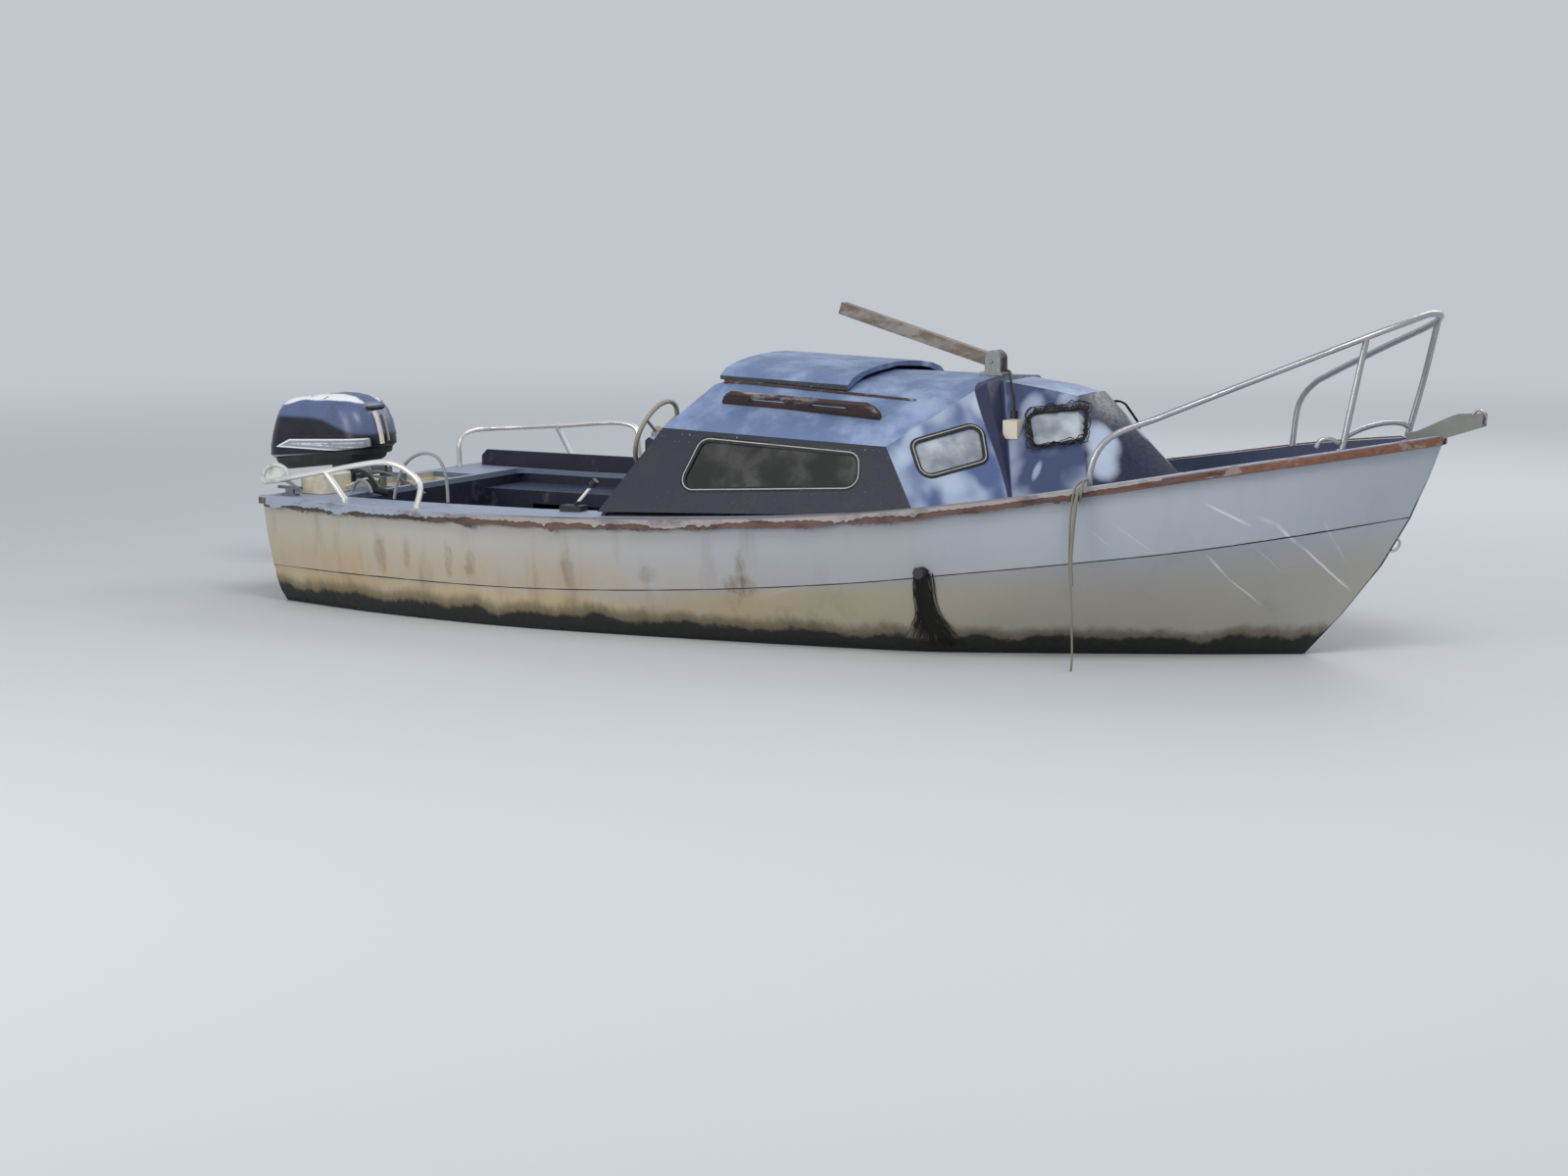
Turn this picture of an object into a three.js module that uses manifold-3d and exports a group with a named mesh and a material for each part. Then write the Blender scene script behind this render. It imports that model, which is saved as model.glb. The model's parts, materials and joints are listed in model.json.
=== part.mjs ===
// A five metre cabin cruiser with an outboard motor, afloat.
// Millimetres, +X to the bow, +Y to port, +Z up. The origin is amidships, on the
// centreline, at the waterline.
import * as THREE from 'three';
import { mergeVertices } from 'three/addons/utils/BufferGeometryUtils.js';
import { ConvexGeometry } from 'three/addons/geometries/ConvexGeometry.js';
import Module from 'manifold-3d';

const wasm = await Module();
wasm.setup();

// Driving dimensions
const GAP = 0.4; // between pieces that touch
const HULL_WALL = 40;
const SOLE_Z = -40; // top of the hull's solid bottom
const DECK_THICK = 24;
const WALL = 12; // liners, tubs and other thin mouldings
const COCKPIT = { aft: -2040, fore: -660, half: 700, corner: 60 };
const SEAT = { aft: -2040, fore: -1050, inner: 400, top: 400 };
const WELL = { aft: -2282, fore: -2068, half: 345, floor: 120 };
const COAMING = { aft: -2270, inner: 704, thick: 16, top: 545 };
// The hole in the deck under the cabin: x, half-width
const CABIN_HOLE = [[-580, 760], [600, 730], [980, 440], [1240, 400], [1400, 0]];
const CABIN_WALL = 18;
const BERTH = { aft: -560, fore: 1180, inner: 200, top: 180 };
const HATCH_HOLE = { aft: -450, fore: 170, half: 330 };
const ROOF_CLEAR = 7; // between the roof and what slides or turns over it
const HATCH = {
  aft: -290, fore: 300, half: 455, skirt: 960, side: 1026, crown: 1098, thick: 14,
  slope: -0.035, travel: 330,
};
const COMPANIONWAY = { half: 270, sill: 560 };
const DOOR = { inner: 4, outer: 264, low: 566, high: 985 };
const TUBE = 12.5; // radius of the rails' tube
const TRANSOM = { x: -2343, z: 470, rake: -0.064, inside: -2295 };
const PAD = { thick: 20.2, low: 250, high: 470, half: 150 };
const PIVOT = { x: -2375, z: 502 }; // the motor tilts about this
const STEER_X = -2445; // and steers about this upright
const COWL = { x: -2575, z: 583, tilt: 7 };
const PROPELLER = { x: -2645, z: -240 };
const WHEEL = { centre: [-1050, 300, 706], radius: 155, rake: 22 };
const MAST = { x: 737, z: 1100, length: 727, angle: 16, half: 25 };

// The hull's long lines. Each row is one station from transom to stem: the keel's height, then
// the sheer, knuckle, waterline and bilge as x, half-beam y and z.
const STATIONS = [
  [-140, [-2345, 865, 470], [-2325, 818, 165], [-2320, 745, 0], [-2315, 615, -90]],
  [-180, [-1700, 945, 465], [-1705, 925, 168], [-1748, 865, 0], [-1768, 730, -110]],
  [-210, [-900, 990, 472], [-927, 960, 176], [-1038, 915, 0], [-1085, 780, -120]],
  [-225, [-100, 992, 508], [-149, 958, 222], [-328, 845, 0], [-403, 720, -125]],
  [-230, [600, 955, 565], [531, 920, 288], [294, 755, 0], [194, 620, -125]],
  [-232, [1100, 880, 632], [1017, 855, 352], [738, 665, 0], [620, 520, -120]],
  [-232, [1500, 780, 698], [1406, 755, 402], [1093, 515, 0], [962, 390, -115]],
  [-228, [1900, 610, 768], [1795, 590, 452], [1448, 345, 0], [1303, 250, -110]],
  [-222, [2250, 370, 822], [2135, 370, 505], [1759, 190, 0], [1601, 130, -105]],
  [-205, [2600, 14, 875], [2475, 14, 560], [2070, 14, 0], [1900, 14, -100]],
].map(([keelZ, sheer, knuckle, water, bilge]) => ({ keelZ, sheer, knuckle, water, bilge }));
const KEEL_X = [-2310, 1700];
const STATION_COUNT = 30;
const STEM_BULGE = 34; // how far the stem stands forward of a straight line halfway down
const SKEG = { half: 14, sole: -300 };

// The cabin's aft face is a raked plane: x = AFT_FACE.x + AFT_FACE.rake * (z - AFT_FACE.z)
const AFT_FACE = { x: -610, z: 500, rake: 0.64 };
const aftFaceX = (z) => AFT_FACE.x + AFT_FACE.rake * (z - AFT_FACE.z);

// The cabin's corners on one side: name: [x, y, z]
const CABIN = {
  aftBase: [aftFaceX(500), 900, 500],
  aftKnee: [aftFaceX(838), 740, 838],
  aftEdge: [aftFaceX(1000), 500, 1000],
  aftCrown: [aftFaceX(1058), 0, 1058],
  sideBase: [800, 868, 560],
  sideKnee: [622, 757, 808],
  roofCorner: [620, 485, 956],
  frontEdge: [821, 261, 1030],
  frontCrown: [836, 0, 1046],
  frontBase: [1064, 539, 590],
  frontFoot: [1075, 0, 590],
};
// The forward trunk's corners on one side
const TRUNK = {
  rootBase: [800, 470, 590],
  rootTop: [740, 140, 1028],
  rootCrown: [740, 0, 1036],
  flankTop: [831, 150, 1033],
  flankBase: [1072, 553, 590],
  ridge: [1041, 150, 1006],
  crown: [1041, 0, 1014],
  frontTop: [1162, 143, 984],
  frontCrown: [1170, 0, 990],
  sideFoot: [1363, 490, 620],
  frontFoot: [1500, 150, 640],
  frontToe: [1508, 0, 640],
};

// Shape helpers
function material(color, roughness, metalness = 0) {
  return new THREE.MeshStandardMaterial({ color, roughness, metalness });
}

function solid(geometry) {
  const bare = geometry.index ? geometry.toNonIndexed() : geometry.clone();
  for (const name of Object.keys(bare.attributes)) {
    if (name !== 'position') bare.deleteAttribute(name);
  }
  const merged = mergeVertices(bare, 1e-3);
  return new wasm.Manifold(new wasm.Mesh({
    numProp: 3,
    vertProperties: new Float32Array(merged.attributes.position.array),
    triVerts: new Uint32Array(merged.index.array),
  }));
}

function meshOf(name, shape, look) {
  const { vertProperties, triVerts } = shape.getMesh();
  const geometry = new THREE.BufferGeometry();
  geometry.setAttribute('position', new THREE.BufferAttribute(new Float32Array(vertProperties), 3));
  geometry.setIndex(new THREE.BufferAttribute(new Uint32Array(triVerts), 1));
  const mesh = new THREE.Mesh(geometry, look);
  mesh.name = name;
  return mesh;
}

function union(shapes) {
  return shapes.reduce((sum, shape) => sum.add(shape));
}

// A copy with every corner moved by a rule; flip turns the faces for mirrors
function remap(shape, place, flip = false) {
  const { vertProperties, triVerts } = shape.getMesh();
  const positions = [];
  for (let i = 0; i < triVerts.length; i += 3) {
    const order = flip ? [triVerts[i + 2], triVerts[i + 1], triVerts[i]] : triVerts.slice(i, i + 3);
    for (const corner of order) {
      const point = Array.from(vertProperties.slice(3 * corner, 3 * corner + 3));
      positions.push(...place(point));
    }
  }
  const geometry = new THREE.BufferGeometry();
  geometry.setAttribute('position', new THREE.Float32BufferAttribute(positions, 3));
  return solid(geometry);
}

const mirrored = (shape) => remap(shape, ([x, y, z]) => [x, -y, z], true);
const moved = (shape, dx, dy, dz) => remap(shape, ([x, y, z]) => [x + dx, y + dy, z + dz]);

// Turned about a line along Y through [x, z]; positive lifts what is forward of it
function pitched(shape, centre, degrees) {
  const angle = THREE.MathUtils.degToRad(degrees);
  const [c, s] = [Math.cos(angle), Math.sin(angle)];
  return remap(shape, ([x, y, z]) => {
    const dx = x - centre.x;
    const dz = z - centre.z;
    return [centre.x + dx * c - dz * s, y, centre.z + dx * s + dz * c];
  });
}

function box(low, high) {
  const size = high.map((value, axis) => value - low[axis]);
  const geometry = new THREE.BoxGeometry(...size);
  geometry.translate(...low.map((value, axis) => value + size[axis] / 2));
  return solid(geometry);
}

function vec(point) {
  return new THREE.Vector3(...point);
}

// A round rod from one point to another
function rod(from, to, radius, sides = 12, endRadius = radius) {
  const a = vec(from);
  const b = vec(to);
  const geometry = new THREE.CylinderGeometry(endRadius, radius, a.distanceTo(b), sides);
  geometry.applyQuaternion(new THREE.Quaternion().setFromUnitVectors(
    new THREE.Vector3(0, 1, 0), b.clone().sub(a).normalize()));
  geometry.translate(...a.add(b).multiplyScalar(0.5).toArray());
  return solid(geometry);
}

// A bar of rectangular section from one point to another, its height square to it and upright
function bar(from, to, width, height) {
  const along = vec(to).sub(vec(from));
  const length = along.length();
  const x = along.normalize();
  const y = new THREE.Vector3().crossVectors(Z_AXIS, x).normalize();
  const z = new THREE.Vector3().crossVectors(x, y);
  const geometry = new THREE.BoxGeometry(length, width, height);
  geometry.applyMatrix4(new THREE.Matrix4().makeBasis(x, y, z));
  geometry.translate(...vec(from).add(vec(to)).multiplyScalar(0.5).toArray());
  return solid(geometry);
}

// A flat outline in local x and y, extruded along local z, on the given plane
function prism(outline, depth, origin, right, up) {
  const shape = new THREE.Shape(outline.map(([x, y]) => new THREE.Vector2(x, y)));
  const geometry = new THREE.ExtrudeGeometry(shape, { depth, bevelEnabled: false, curveSegments: 6 });
  const out = new THREE.Vector3().crossVectors(right, up);
  geometry.applyMatrix4(new THREE.Matrix4().makeBasis(right, up, out));
  geometry.translate(...origin);
  return solid(geometry);
}

const X_AXIS = new THREE.Vector3(1, 0, 0);
const Y_AXIS = new THREE.Vector3(0, 1, 0);
const Z_AXIS = new THREE.Vector3(0, 0, 1);

// An outline in X and Z extruded sideways from y0 to y1
function sidePlate(outline, y0, y1) {
  return prism(outline, y1 - y0, [0, y1, 0], X_AXIS, Z_AXIS);
}

function roundedRectangle(width, height, radius, steps = 4) {
  const points = [];
  const corners = [[1, 1], [-1, 1], [-1, -1], [1, -1]];
  corners.forEach(([sx, sy], quarter) => {
    for (let i = 0; i <= steps; i++) {
      const angle = (quarter + i / steps) * Math.PI / 2;
      points.push([sx * (width / 2 - radius) + radius * Math.cos(angle),
        sy * (height / 2 - radius) + radius * Math.sin(angle)]);
    }
  });
  return points;
}

// A bent tube along points, with rounded bends
function tube(points, radius, sides = 8, steps = 24) {
  const path = new THREE.CatmullRomCurve3(points.map(vec), false, 'centripetal');
  const section = new THREE.Shape();
  section.absarc(0, 0, radius, 0, Math.PI * 2, false);
  return solid(new THREE.ExtrudeGeometry(section, {
    steps, curveSegments: sides / 2, extrudePath: path, bevelEnabled: false }));
}

// Rings of equal length joined into one closed body. They lie across the X or the Z axis.
function loft(rings, across = 'x') {
  const positions = [];
  const triangle = (a, b, c) => positions.push(...a, ...b, ...c);
  const count = rings[0].length;
  for (let k = 0; k < rings.length - 1; k++) {
    for (let i = 0; i < count; i++) {
      const j = (i + 1) % count;
      triangle(rings[k][i], rings[k][j], rings[k + 1][j]);
      triangle(rings[k][i], rings[k + 1][j], rings[k + 1][i]);
    }
  }
  const axes = across === 'x' ? [1, 2] : [0, 1];
  const flatten = (ring) => ring.map((point) => new THREE.Vector2(point[axes[0]], point[axes[1]]));
  const turn = Math.sign(THREE.ShapeUtils.area(flatten(rings[0])));
  // An end's faces all turn the same way. Their sum tells which, since one sliver's own area can't.
  const close = (ring, facing) => {
    const flat = flatten(ring);
    const faces = THREE.ShapeUtils.triangulateShape(flat, []);
    const areas = faces.map((face) => THREE.ShapeUtils.area(face.map((corner) => flat[corner])));
    const winding = Math.sign(areas.reduce((sum, area) => sum + area, 0));
    for (const [a, b, c] of faces) {
      if (winding * turn === facing) triangle(ring[a], ring[b], ring[c]);
      else triangle(ring[c], ring[b], ring[a]);
    }
  };
  close(rings[0], -1);
  close(rings[rings.length - 1], 1);
  const geometry = new THREE.BufferGeometry();
  geometry.setAttribute('position', new THREE.Float32BufferAttribute(positions, 3));
  const shape = solid(geometry);
  if (shape.volume() > 0) return shape;
  const turned = [];
  for (let i = 0; i < positions.length; i += 9) {
    for (const corner of [6, 3, 0]) turned.push(...positions.slice(i + corner, i + corner + 3));
  }
  const reverse = new THREE.BufferGeometry();
  reverse.setAttribute('position', new THREE.Float32BufferAttribute(turned, 3));
  return solid(reverse);
}

// A port outline carried over to starboard, as one ring
const bothSides = (port) => port.concat(port.slice().reverse().map(([x, y, z]) => [x, -y, z]));

// Hull lines
const LINE_NAMES = ['sheer', 'knuckle', 'water', 'bilge'];
const LINE = {};
for (const name of LINE_NAMES) {
  LINE[name] = new THREE.CatmullRomCurve3(STATIONS.map((row) => vec(row[name])), false, 'centripetal');
}

function along(name, t) {
  return LINE[name].getPoint(t);
}

function keelAt(t) {
  const at = t * (STATIONS.length - 1);
  const row = Math.min(Math.floor(at), STATIONS.length - 2);
  const z = THREE.MathUtils.lerp(STATIONS[row].keelZ, STATIONS[row + 1].keelZ, at - row);
  const sheer = STATIONS.map((station) => station.sheer[0]);
  const share = (along('sheer', t).x - sheer[0]) / (sheer[sheer.length - 1] - sheer[0]);
  return new THREE.Vector3(THREE.MathUtils.lerp(KEEL_X[0], KEEL_X[1], share), 12, z);
}

// The point of a long line at a given x
function lineAt(name, x) {
  let low = 0;
  let high = 1;
  for (let i = 0; i < 40; i++) {
    const middle = (low + high) / 2;
    if (along(name, middle).x < x) low = middle;
    else high = middle;
  }
  return along(name, low);
}

const sheerAt = (x) => lineAt('sheer', x);

// Deck height: at the gunwale aft, falling into the well between the bulwarks forward
const DECK_DROP = [[-2400, 0], [500, 0], [900, 25], [1300, 62], [1800, 92], [2450, 108]];
const DECK_SECTIONS = [-2294, -2000, -1660, -1330, -1000, -660, -330, 0, 250, 500, 700, 900, 1100,
  1300, 1450, 1600, 1800, 1950, 2100, 2250, 2350, 2428];
function deckZ(x) {
  let drop = DECK_DROP[DECK_DROP.length - 1][1];
  for (let i = 0; i < DECK_DROP.length - 1; i++) {
    const [x0, d0] = DECK_DROP[i];
    const [x1, d1] = DECK_DROP[i + 1];
    if (x >= x0 && x < x1) drop = THREE.MathUtils.lerp(d0, d1, (x - x0) / (x1 - x0));
  }
  return sheerAt(x).z - drop;
}

// Everything below the deck's upper face, shifted up by a distance
function belowDeck(rise) {
  return loft(DECK_SECTIONS.map((x) => {
    const top = deckZ(x) + rise;
    return [[x, 1200, top], [x, 1200, -600], [x, -1200, -600], [x, -1200, top]];
  }));
}

// Hull
function hullRing(t) {
  const [sheer, knuckle, water, bilge] = LINE_NAMES.map((name) => along(name, t));
  const keel = keelAt(t);
  const atStem = STEM_BULGE * THREE.MathUtils.smoothstep(sheer.x, 2000, 2600);
  const bulge = (a, b, share, out, forward = 0) => a.clone().lerp(b, share)
    .add(new THREE.Vector3(forward * atStem, out * Math.min(1, a.y / 300), 0));
  return bothSides([
    sheer,
    bulge(sheer, knuckle, 0.5, 10, 0.2),
    knuckle.clone().add(new THREE.Vector3(0, 5, 6)),
    knuckle.clone().add(new THREE.Vector3(0, -1, -6)),
    bulge(knuckle, water, 0.35, 14, 1),
    bulge(knuckle, water, 0.7, 16, 0.8),
    water,
    bulge(water, bilge, 0.5, 22),
    bilge,
    bulge(bilge, keel, 0.5, 8),
    keel,
  ].map((point) => point.toArray()));
}

function stationTimes() {
  return Array.from({ length: STATION_COUNT }, (_, index) => index / (STATION_COUNT - 1));
}

// Everything below the gunwale, shifted up by a distance
function belowSheer(rise) {
  return loft(stationTimes().map((t) => {
    const { x, z } = along('sheer', t);
    return [[x, 1200, z + rise], [x, 1200, -600], [x, -1200, -600], [x, -1200, z + rise]];
  }));
}

// The hull's inner half-beam at a height, for a wall that follows the topsides
function cavityHalf(x, z) {
  const lines = LINE_NAMES.map((name) => lineAt(name, x));
  for (let i = 0; i < lines.length - 1; i++) {
    if (z <= lines[i].z && z >= lines[i + 1].z) {
      const share = (lines[i].z - z) / (lines[i].z - lines[i + 1].z);
      return Math.max(THREE.MathUtils.lerp(lines[i].y, lines[i + 1].y, share) - HULL_WALL, 20);
    }
  }
  return Math.max(lines[0].y - HULL_WALL, 20);
}

const rimHalf = (x, inset) => Math.max(sheerAt(x).y - HULL_WALL - inset, 8);
const footHalf = (x, z, inset) => Math.max(
  Math.min(sheerAt(x).y - HULL_WALL, cavityHalf(x, z)) - inset, 8);

// The space inside the hull, shrunk by an inset: walls down to below the deck, then following
// the topsides
const CAVITY_END = 1450;
function cavityBody(inset) {
  const sections = [TRANSOM.inside + inset, ...DECK_SECTIONS.slice(1)].filter((x) => x <= CAVITY_END);
  sections[sections.length - 1] -= inset;
  return loft(sections.map((x) => {
    const ledge = deckZ(x) - DECK_THICK - 20;
    const foot = footHalf(x, ledge, inset);
    return bothSides([
      [x, rimHalf(x, inset), 1500],
      [x, rimHalf(x, inset), sheerAt(x).z],
      [x, foot, ledge],
      [x, Math.min(foot, cavityHalf(x, 200) - inset), 200],
      [x, Math.min(foot - 30, cavityHalf(x, SOLE_Z) - inset), SOLE_Z + inset],
    ]);
  }));
}

// The well between the bulwarks forward, down to the ledge that carries the deck
function foredeckBody(inset) {
  const sections = DECK_SECTIONS.filter((x) => x >= 1300);
  sections[sections.length - 1] -= inset;
  return loft(sections.map((x) => {
    const floor = deckZ(x) - DECK_THICK - GAP;
    return bothSides([
      [x, rimHalf(x, inset), 1500],
      [x, rimHalf(x, inset), sheerAt(x).z],
      [x, footHalf(x, floor, inset), floor],
    ]);
  }));
}

const transomX = (z) => TRANSOM.x + TRANSOM.rake * (z - TRANSOM.z);

function makeHull() {
  const outer = loft(stationTimes().map(hullRing));
  const cut = [[transomX(700), 700], [transomX(-400), -400], [-2600, -400], [-2600, 700]];
  const behind = sidePlate(cut, -1200, 1200);
  return outer.subtract(cavityBody(0)).subtract(foredeckBody(0)).subtract(behind);
}

// The fin along the keel, under the hull
function makeSkeg() {
  const outline = [[-2200, -130], [-2150, SKEG.sole], [-400, SKEG.sole], [500, -200], [500, -150]];
  return sidePlate(outline, -SKEG.half, SKEG.half)
    .subtract(moved(loft(stationTimes().map(hullRing)), 0, 0, -GAP));
}

// Deck: a slab between the hull's walls, open over cockpit, motor well and cabin. The cockpit's
// corners are round aft, and square forward, where the bulkhead and the liner meet them.
function makeDeck() {
  const edges = (x) => bothSides([[x, 1200, deckZ(x)], [x, 1200, deckZ(x) - DECK_THICK]]);
  const slab = loft(DECK_SECTIONS.map(edges)).intersect(cavityBody(1).add(foredeckBody(1)));
  const { aft, fore, half, corner } = COCKPIT;
  const cockpit = prism(roundedRectangle(fore - aft, 2 * half, corner), 900, [(fore + aft) / 2, 0, 0],
    X_AXIS, Y_AXIS).add(box([fore - corner, -half, 0], [fore, half, 900]));
  const well = box([WELL.aft - 100, -WELL.half, 0], [WELL.fore, WELL.half, 900]);
  return slab.subtract(cockpit).subtract(well).subtract(symmetricPrism(CABIN_HOLE, 0, 900));
}

// A symmetric plan outline, extruded upwards
function symmetricPrism(outline, low, high) {
  const points = [];
  for (const [x, y] of outline) {
    for (const z of [low, high]) {
      points.push(new THREE.Vector3(x, y, z), new THREE.Vector3(x, -y, z));
    }
  }
  return solid(new ConvexGeometry(points));
}

// Coachroof: cabin and trunk as one moulding. Inset shrinks it towards its middle.
function roofBody(inset, drop = 0) {
  const centre = new THREE.Vector3(150, 0, 300);
  const shrink = new THREE.Vector3(1 - inset / 900, 1 - inset / 760, 1 - inset / 640);
  const place = (corners) => {
    const points = [];
    for (const point of Object.values(corners)) {
      for (const side of [1, -1]) {
        points.push(vec([point[0], side * point[1], point[2]]).sub(centre).multiply(shrink).add(centre));
      }
    }
    return points;
  };
  const low = (points) => points.concat(points.filter((point) => point.z < 700)
    .map((point) => new THREE.Vector3(point.x, point.y, point.z - drop)));
  const cabin = solid(new ConvexGeometry(low(place(CABIN))));
  const trunk = solid(new ConvexGeometry(low(place(TRUNK))));
  return cabin.add(trunk);
}

// Windows. Each lies on a facet through a point, with its outline in the facet's own axes.
function facet(a, b, c) {
  const right = vec(b).sub(vec(a)).normalize();
  const out = new THREE.Vector3().crossVectors(right, vec(c).sub(vec(a))).normalize();
  if (out.y < 0) out.negate();
  const up = new THREE.Vector3().crossVectors(out, right).normalize();
  return { right, up, out };
}

function windowPrism(corners, radius, grow) {
  const { right, up, out } = facet(...corners);
  const points = corners.map(vec);
  const centre = points.reduce((sum, point) => sum.add(point), new THREE.Vector3());
  centre.divideScalar(points.length);
  const flat = points.map((point) => {
    const local = point.clone().sub(centre);
    return new THREE.Vector2(local.dot(right), local.dot(up));
  });
  const inside = centre.clone().addScaledVector(out, -90);
  return prism(roundCorners(flat, radius, grow), 160, inside.toArray(), right, up);
}

// A four-sided outline with round corners, grown outwards by an amount
function roundCorners(corners, radius, grow, steps = 4) {
  const area = THREE.ShapeUtils.area(corners);
  const loop = area < 0 ? corners.slice().reverse() : corners;
  const points = [];
  loop.forEach((corner, index) => {
    const before = loop[(index + loop.length - 1) % loop.length].clone().sub(corner).normalize();
    const after = loop[(index + 1) % loop.length].clone().sub(corner).normalize();
    const half = Math.acos(THREE.MathUtils.clamp(before.dot(after), -1, 1)) / 2;
    const inwards = before.clone().add(after).normalize();
    const middle = corner.clone().addScaledVector(inwards, radius / Math.sin(half));
    const first = new THREE.Vector2(-before.y, before.x);
    const last = new THREE.Vector2(after.y, -after.x);
    const from = Math.atan2(first.y, first.x);
    let to = Math.atan2(last.y, last.x);
    while (to < from) to += Math.PI * 2;
    for (let i = 0; i <= steps; i++) {
      const angle = from + (to - from) * i / steps;
      const reach = radius + grow;
      points.push([middle.x + reach * Math.cos(angle), middle.y + reach * Math.sin(angle)]);
    }
  });
  return points;
}

const WINDOWS = {
  side: { radius: 48, corners: [[-263, 850, 604], [537, 826, 650], [508, 767, 775], [-199, 757, 802]] },
  quarter: { radius: 40, corners: [[772, 736, 692], [928, 496, 746], [858, 403, 882], [689, 669, 819]] },
  trunk: { radius: 30, corners: [[1066, 356, 795], [1260, 301, 826], [1221, 191, 943], [999, 250, 912]] },
};

// Liners: cockpit, motor well and cabin
function makeCockpitLiner() {
  const shell = box([COCKPIT.aft - WALL, -COCKPIT.half - WALL, SOLE_Z + GAP],
    [COCKPIT.fore + WALL, COCKPIT.half + WALL, 700])
    .subtract(box([COCKPIT.aft, -COCKPIT.half, -15], [COCKPIT.fore, COCKPIT.half, 800]));
  const { aft, fore, inner, top } = SEAT;
  const seat = box([aft - 1, inner, -20], [fore, COCKPIT.half + 1, top]);
  const under = box([aft + 40, inner + WALL, -30], [fore - 40, COCKPIT.half - 10, top - 20]);
  const open = box([aft + 260, inner - 20, 10], [fore - 200, inner + WALL + 10, top - 60]);
  const bench = seat.subtract(under).subtract(open);
  return shell.add(bench).add(mirrored(bench)).intersect(belowDeck(-DECK_THICK - GAP));
}

function makeMotorWell() {
  const low = [WELL.aft - WALL, -WELL.half - WALL, WELL.floor - WALL];
  const high = [WELL.fore + WALL, WELL.half + WALL, 700];
  return box(low, high)
    .subtract(box([WELL.aft, -WELL.half, WELL.floor], [WELL.fore, WELL.half, 800]))
    .intersect(belowDeck(-DECK_THICK - GAP));
}

function makeCabinLiner() {
  const sole = box([BERTH.aft, -900, SOLE_Z], [BERTH.fore, 900, -20]);
  const berth = box([BERTH.aft, BERTH.inner, SOLE_Z], [BERTH.fore, 900, BERTH.top]);
  return sole.add(berth).add(mirrored(berth)).intersect(cavityBody(1));
}

// A strip following the cabin's raked aft face, between two distances forward of it
function rakedStrip(from, to, low, high, y0, y1) {
  const outline = [
    [aftFaceX(low) + from, low],
    [aftFaceX(low) + to, low],
    [aftFaceX(high) + to, high],
    [aftFaceX(high) + from, high],
  ];
  return sidePlate(outline, y0, y1);
}

function makeCoachroof(outer, holes) {
  const inner = roofBody(CABIN_WALL, 200);
  const behind = moved(inner, -60, 0, 0);
  const hatch = box([HATCH_HOLE.aft, -HATCH_HOLE.half, 900], [HATCH_HOLE.fore, HATCH_HOLE.half, 1200]);
  let shape = outer.subtract(inner).subtract(behind).subtract(hatch).subtract(belowDeck(GAP));
  for (const hole of holes) shape = shape.subtract(hole).subtract(mirrored(hole));
  return shape;
}

// Companionway: a bulkhead open in the middle, and two doors hinged at the opening's edges
const BULKHEAD = { from: 12, to: 28 };
const HINGE = { y: 267, forward: 8, radius: 6.5, play: 0.7 };
const HINGES = [
  { fixed: [596, 630], turning: [630 + GAP, 664] },
  { fixed: [910, 944], turning: [876, 910 - GAP] },
];

function barrel([low, high], radius) {
  const at = (z) => [aftFaceX(z) + HINGE.forward, HINGE.y, z];
  return rod(at(low), at(high), radius, 12);
}

function makeBulkhead() {
  const inside = moved(roofBody(CABIN_WALL + 1.5, 200), -40, 0, 0);
  const way = box([-900, -COMPANIONWAY.half, COMPANIONWAY.sill], [200, COMPANIONWAY.half, 1200]);
  const panel = rakedStrip(BULKHEAD.from, BULKHEAD.to, 440, 1100, -1000, 1000)
    .intersect(inside).subtract(way).subtract(belowDeck(GAP));
  return withBarrels(panel, 'fixed', 'turning', [1, -1]);
}

function makeDoor() {
  const leaf = rakedStrip(BULKHEAD.from, BULKHEAD.to, DOOR.low, DOOR.high, DOOR.inner, DOOR.outer);
  return withBarrels(leaf, 'turning', 'fixed', [1]);
}

// Adds a panel's own hinge barrels and clears the other's
function withBarrels(panel, own, other, sides) {
  let shape = panel;
  for (const row of HINGES) {
    const mine = barrel(row[own], HINGE.radius);
    const theirs = barrel([row[other][0] - 2, row[other][1] + 2], HINGE.radius + HINGE.play);
    for (const side of sides) {
      const place = side > 0 ? (solidShape) => solidShape : mirrored;
      shape = shape.subtract(place(theirs)).add(place(mine));
    }
  }
  return shape;
}

// Sliding hatch, its section a low arch, cleared from the roof all along its travel
function makeHatch(roof) {
  const arch = (x, half, low, side, crown) => {
    const lift = HATCH.slope * x;
    return bothSides([
      [x, half, low],
      [x, half, side + lift],
      [x, half * 0.9, side + (crown - side) * 0.38 + lift],
      [x, half * 0.72, side + (crown - side) * 0.66 + lift],
      [x, half * 0.5, side + (crown - side) * 0.84 + lift],
      [x, half * 0.25, side + (crown - side) * 0.96 + lift],
      [x, 1, crown + lift],
    ]);
  };
  const outer = loft([HATCH.aft, HATCH.fore]
    .map((x) => arch(x, HATCH.half, HATCH.skirt, HATCH.side, HATCH.crown)));
  const { thick } = HATCH;
  const inner = loft([HATCH.aft + thick, HATCH.fore - thick]
    .map((x) => arch(x, HATCH.half - thick, HATCH.skirt - 20, HATCH.side - 8, HATCH.crown - thick)));
  const steps = [0, 0.25, 0.5, 0.75, 1].map((share) => share * HATCH.travel);
  const swept = union(steps.map((step) => moved(roof, -step, 0, ROOF_CLEAR - HATCH.slope * step)));
  return outer.subtract(inner).subtract(swept);
}

// Window panes in their holes
function makePane(row) {
  return roofBody(5).subtract(roofBody(11)).intersect(windowPrism(row.corners, row.radius, -GAP));
}

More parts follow.
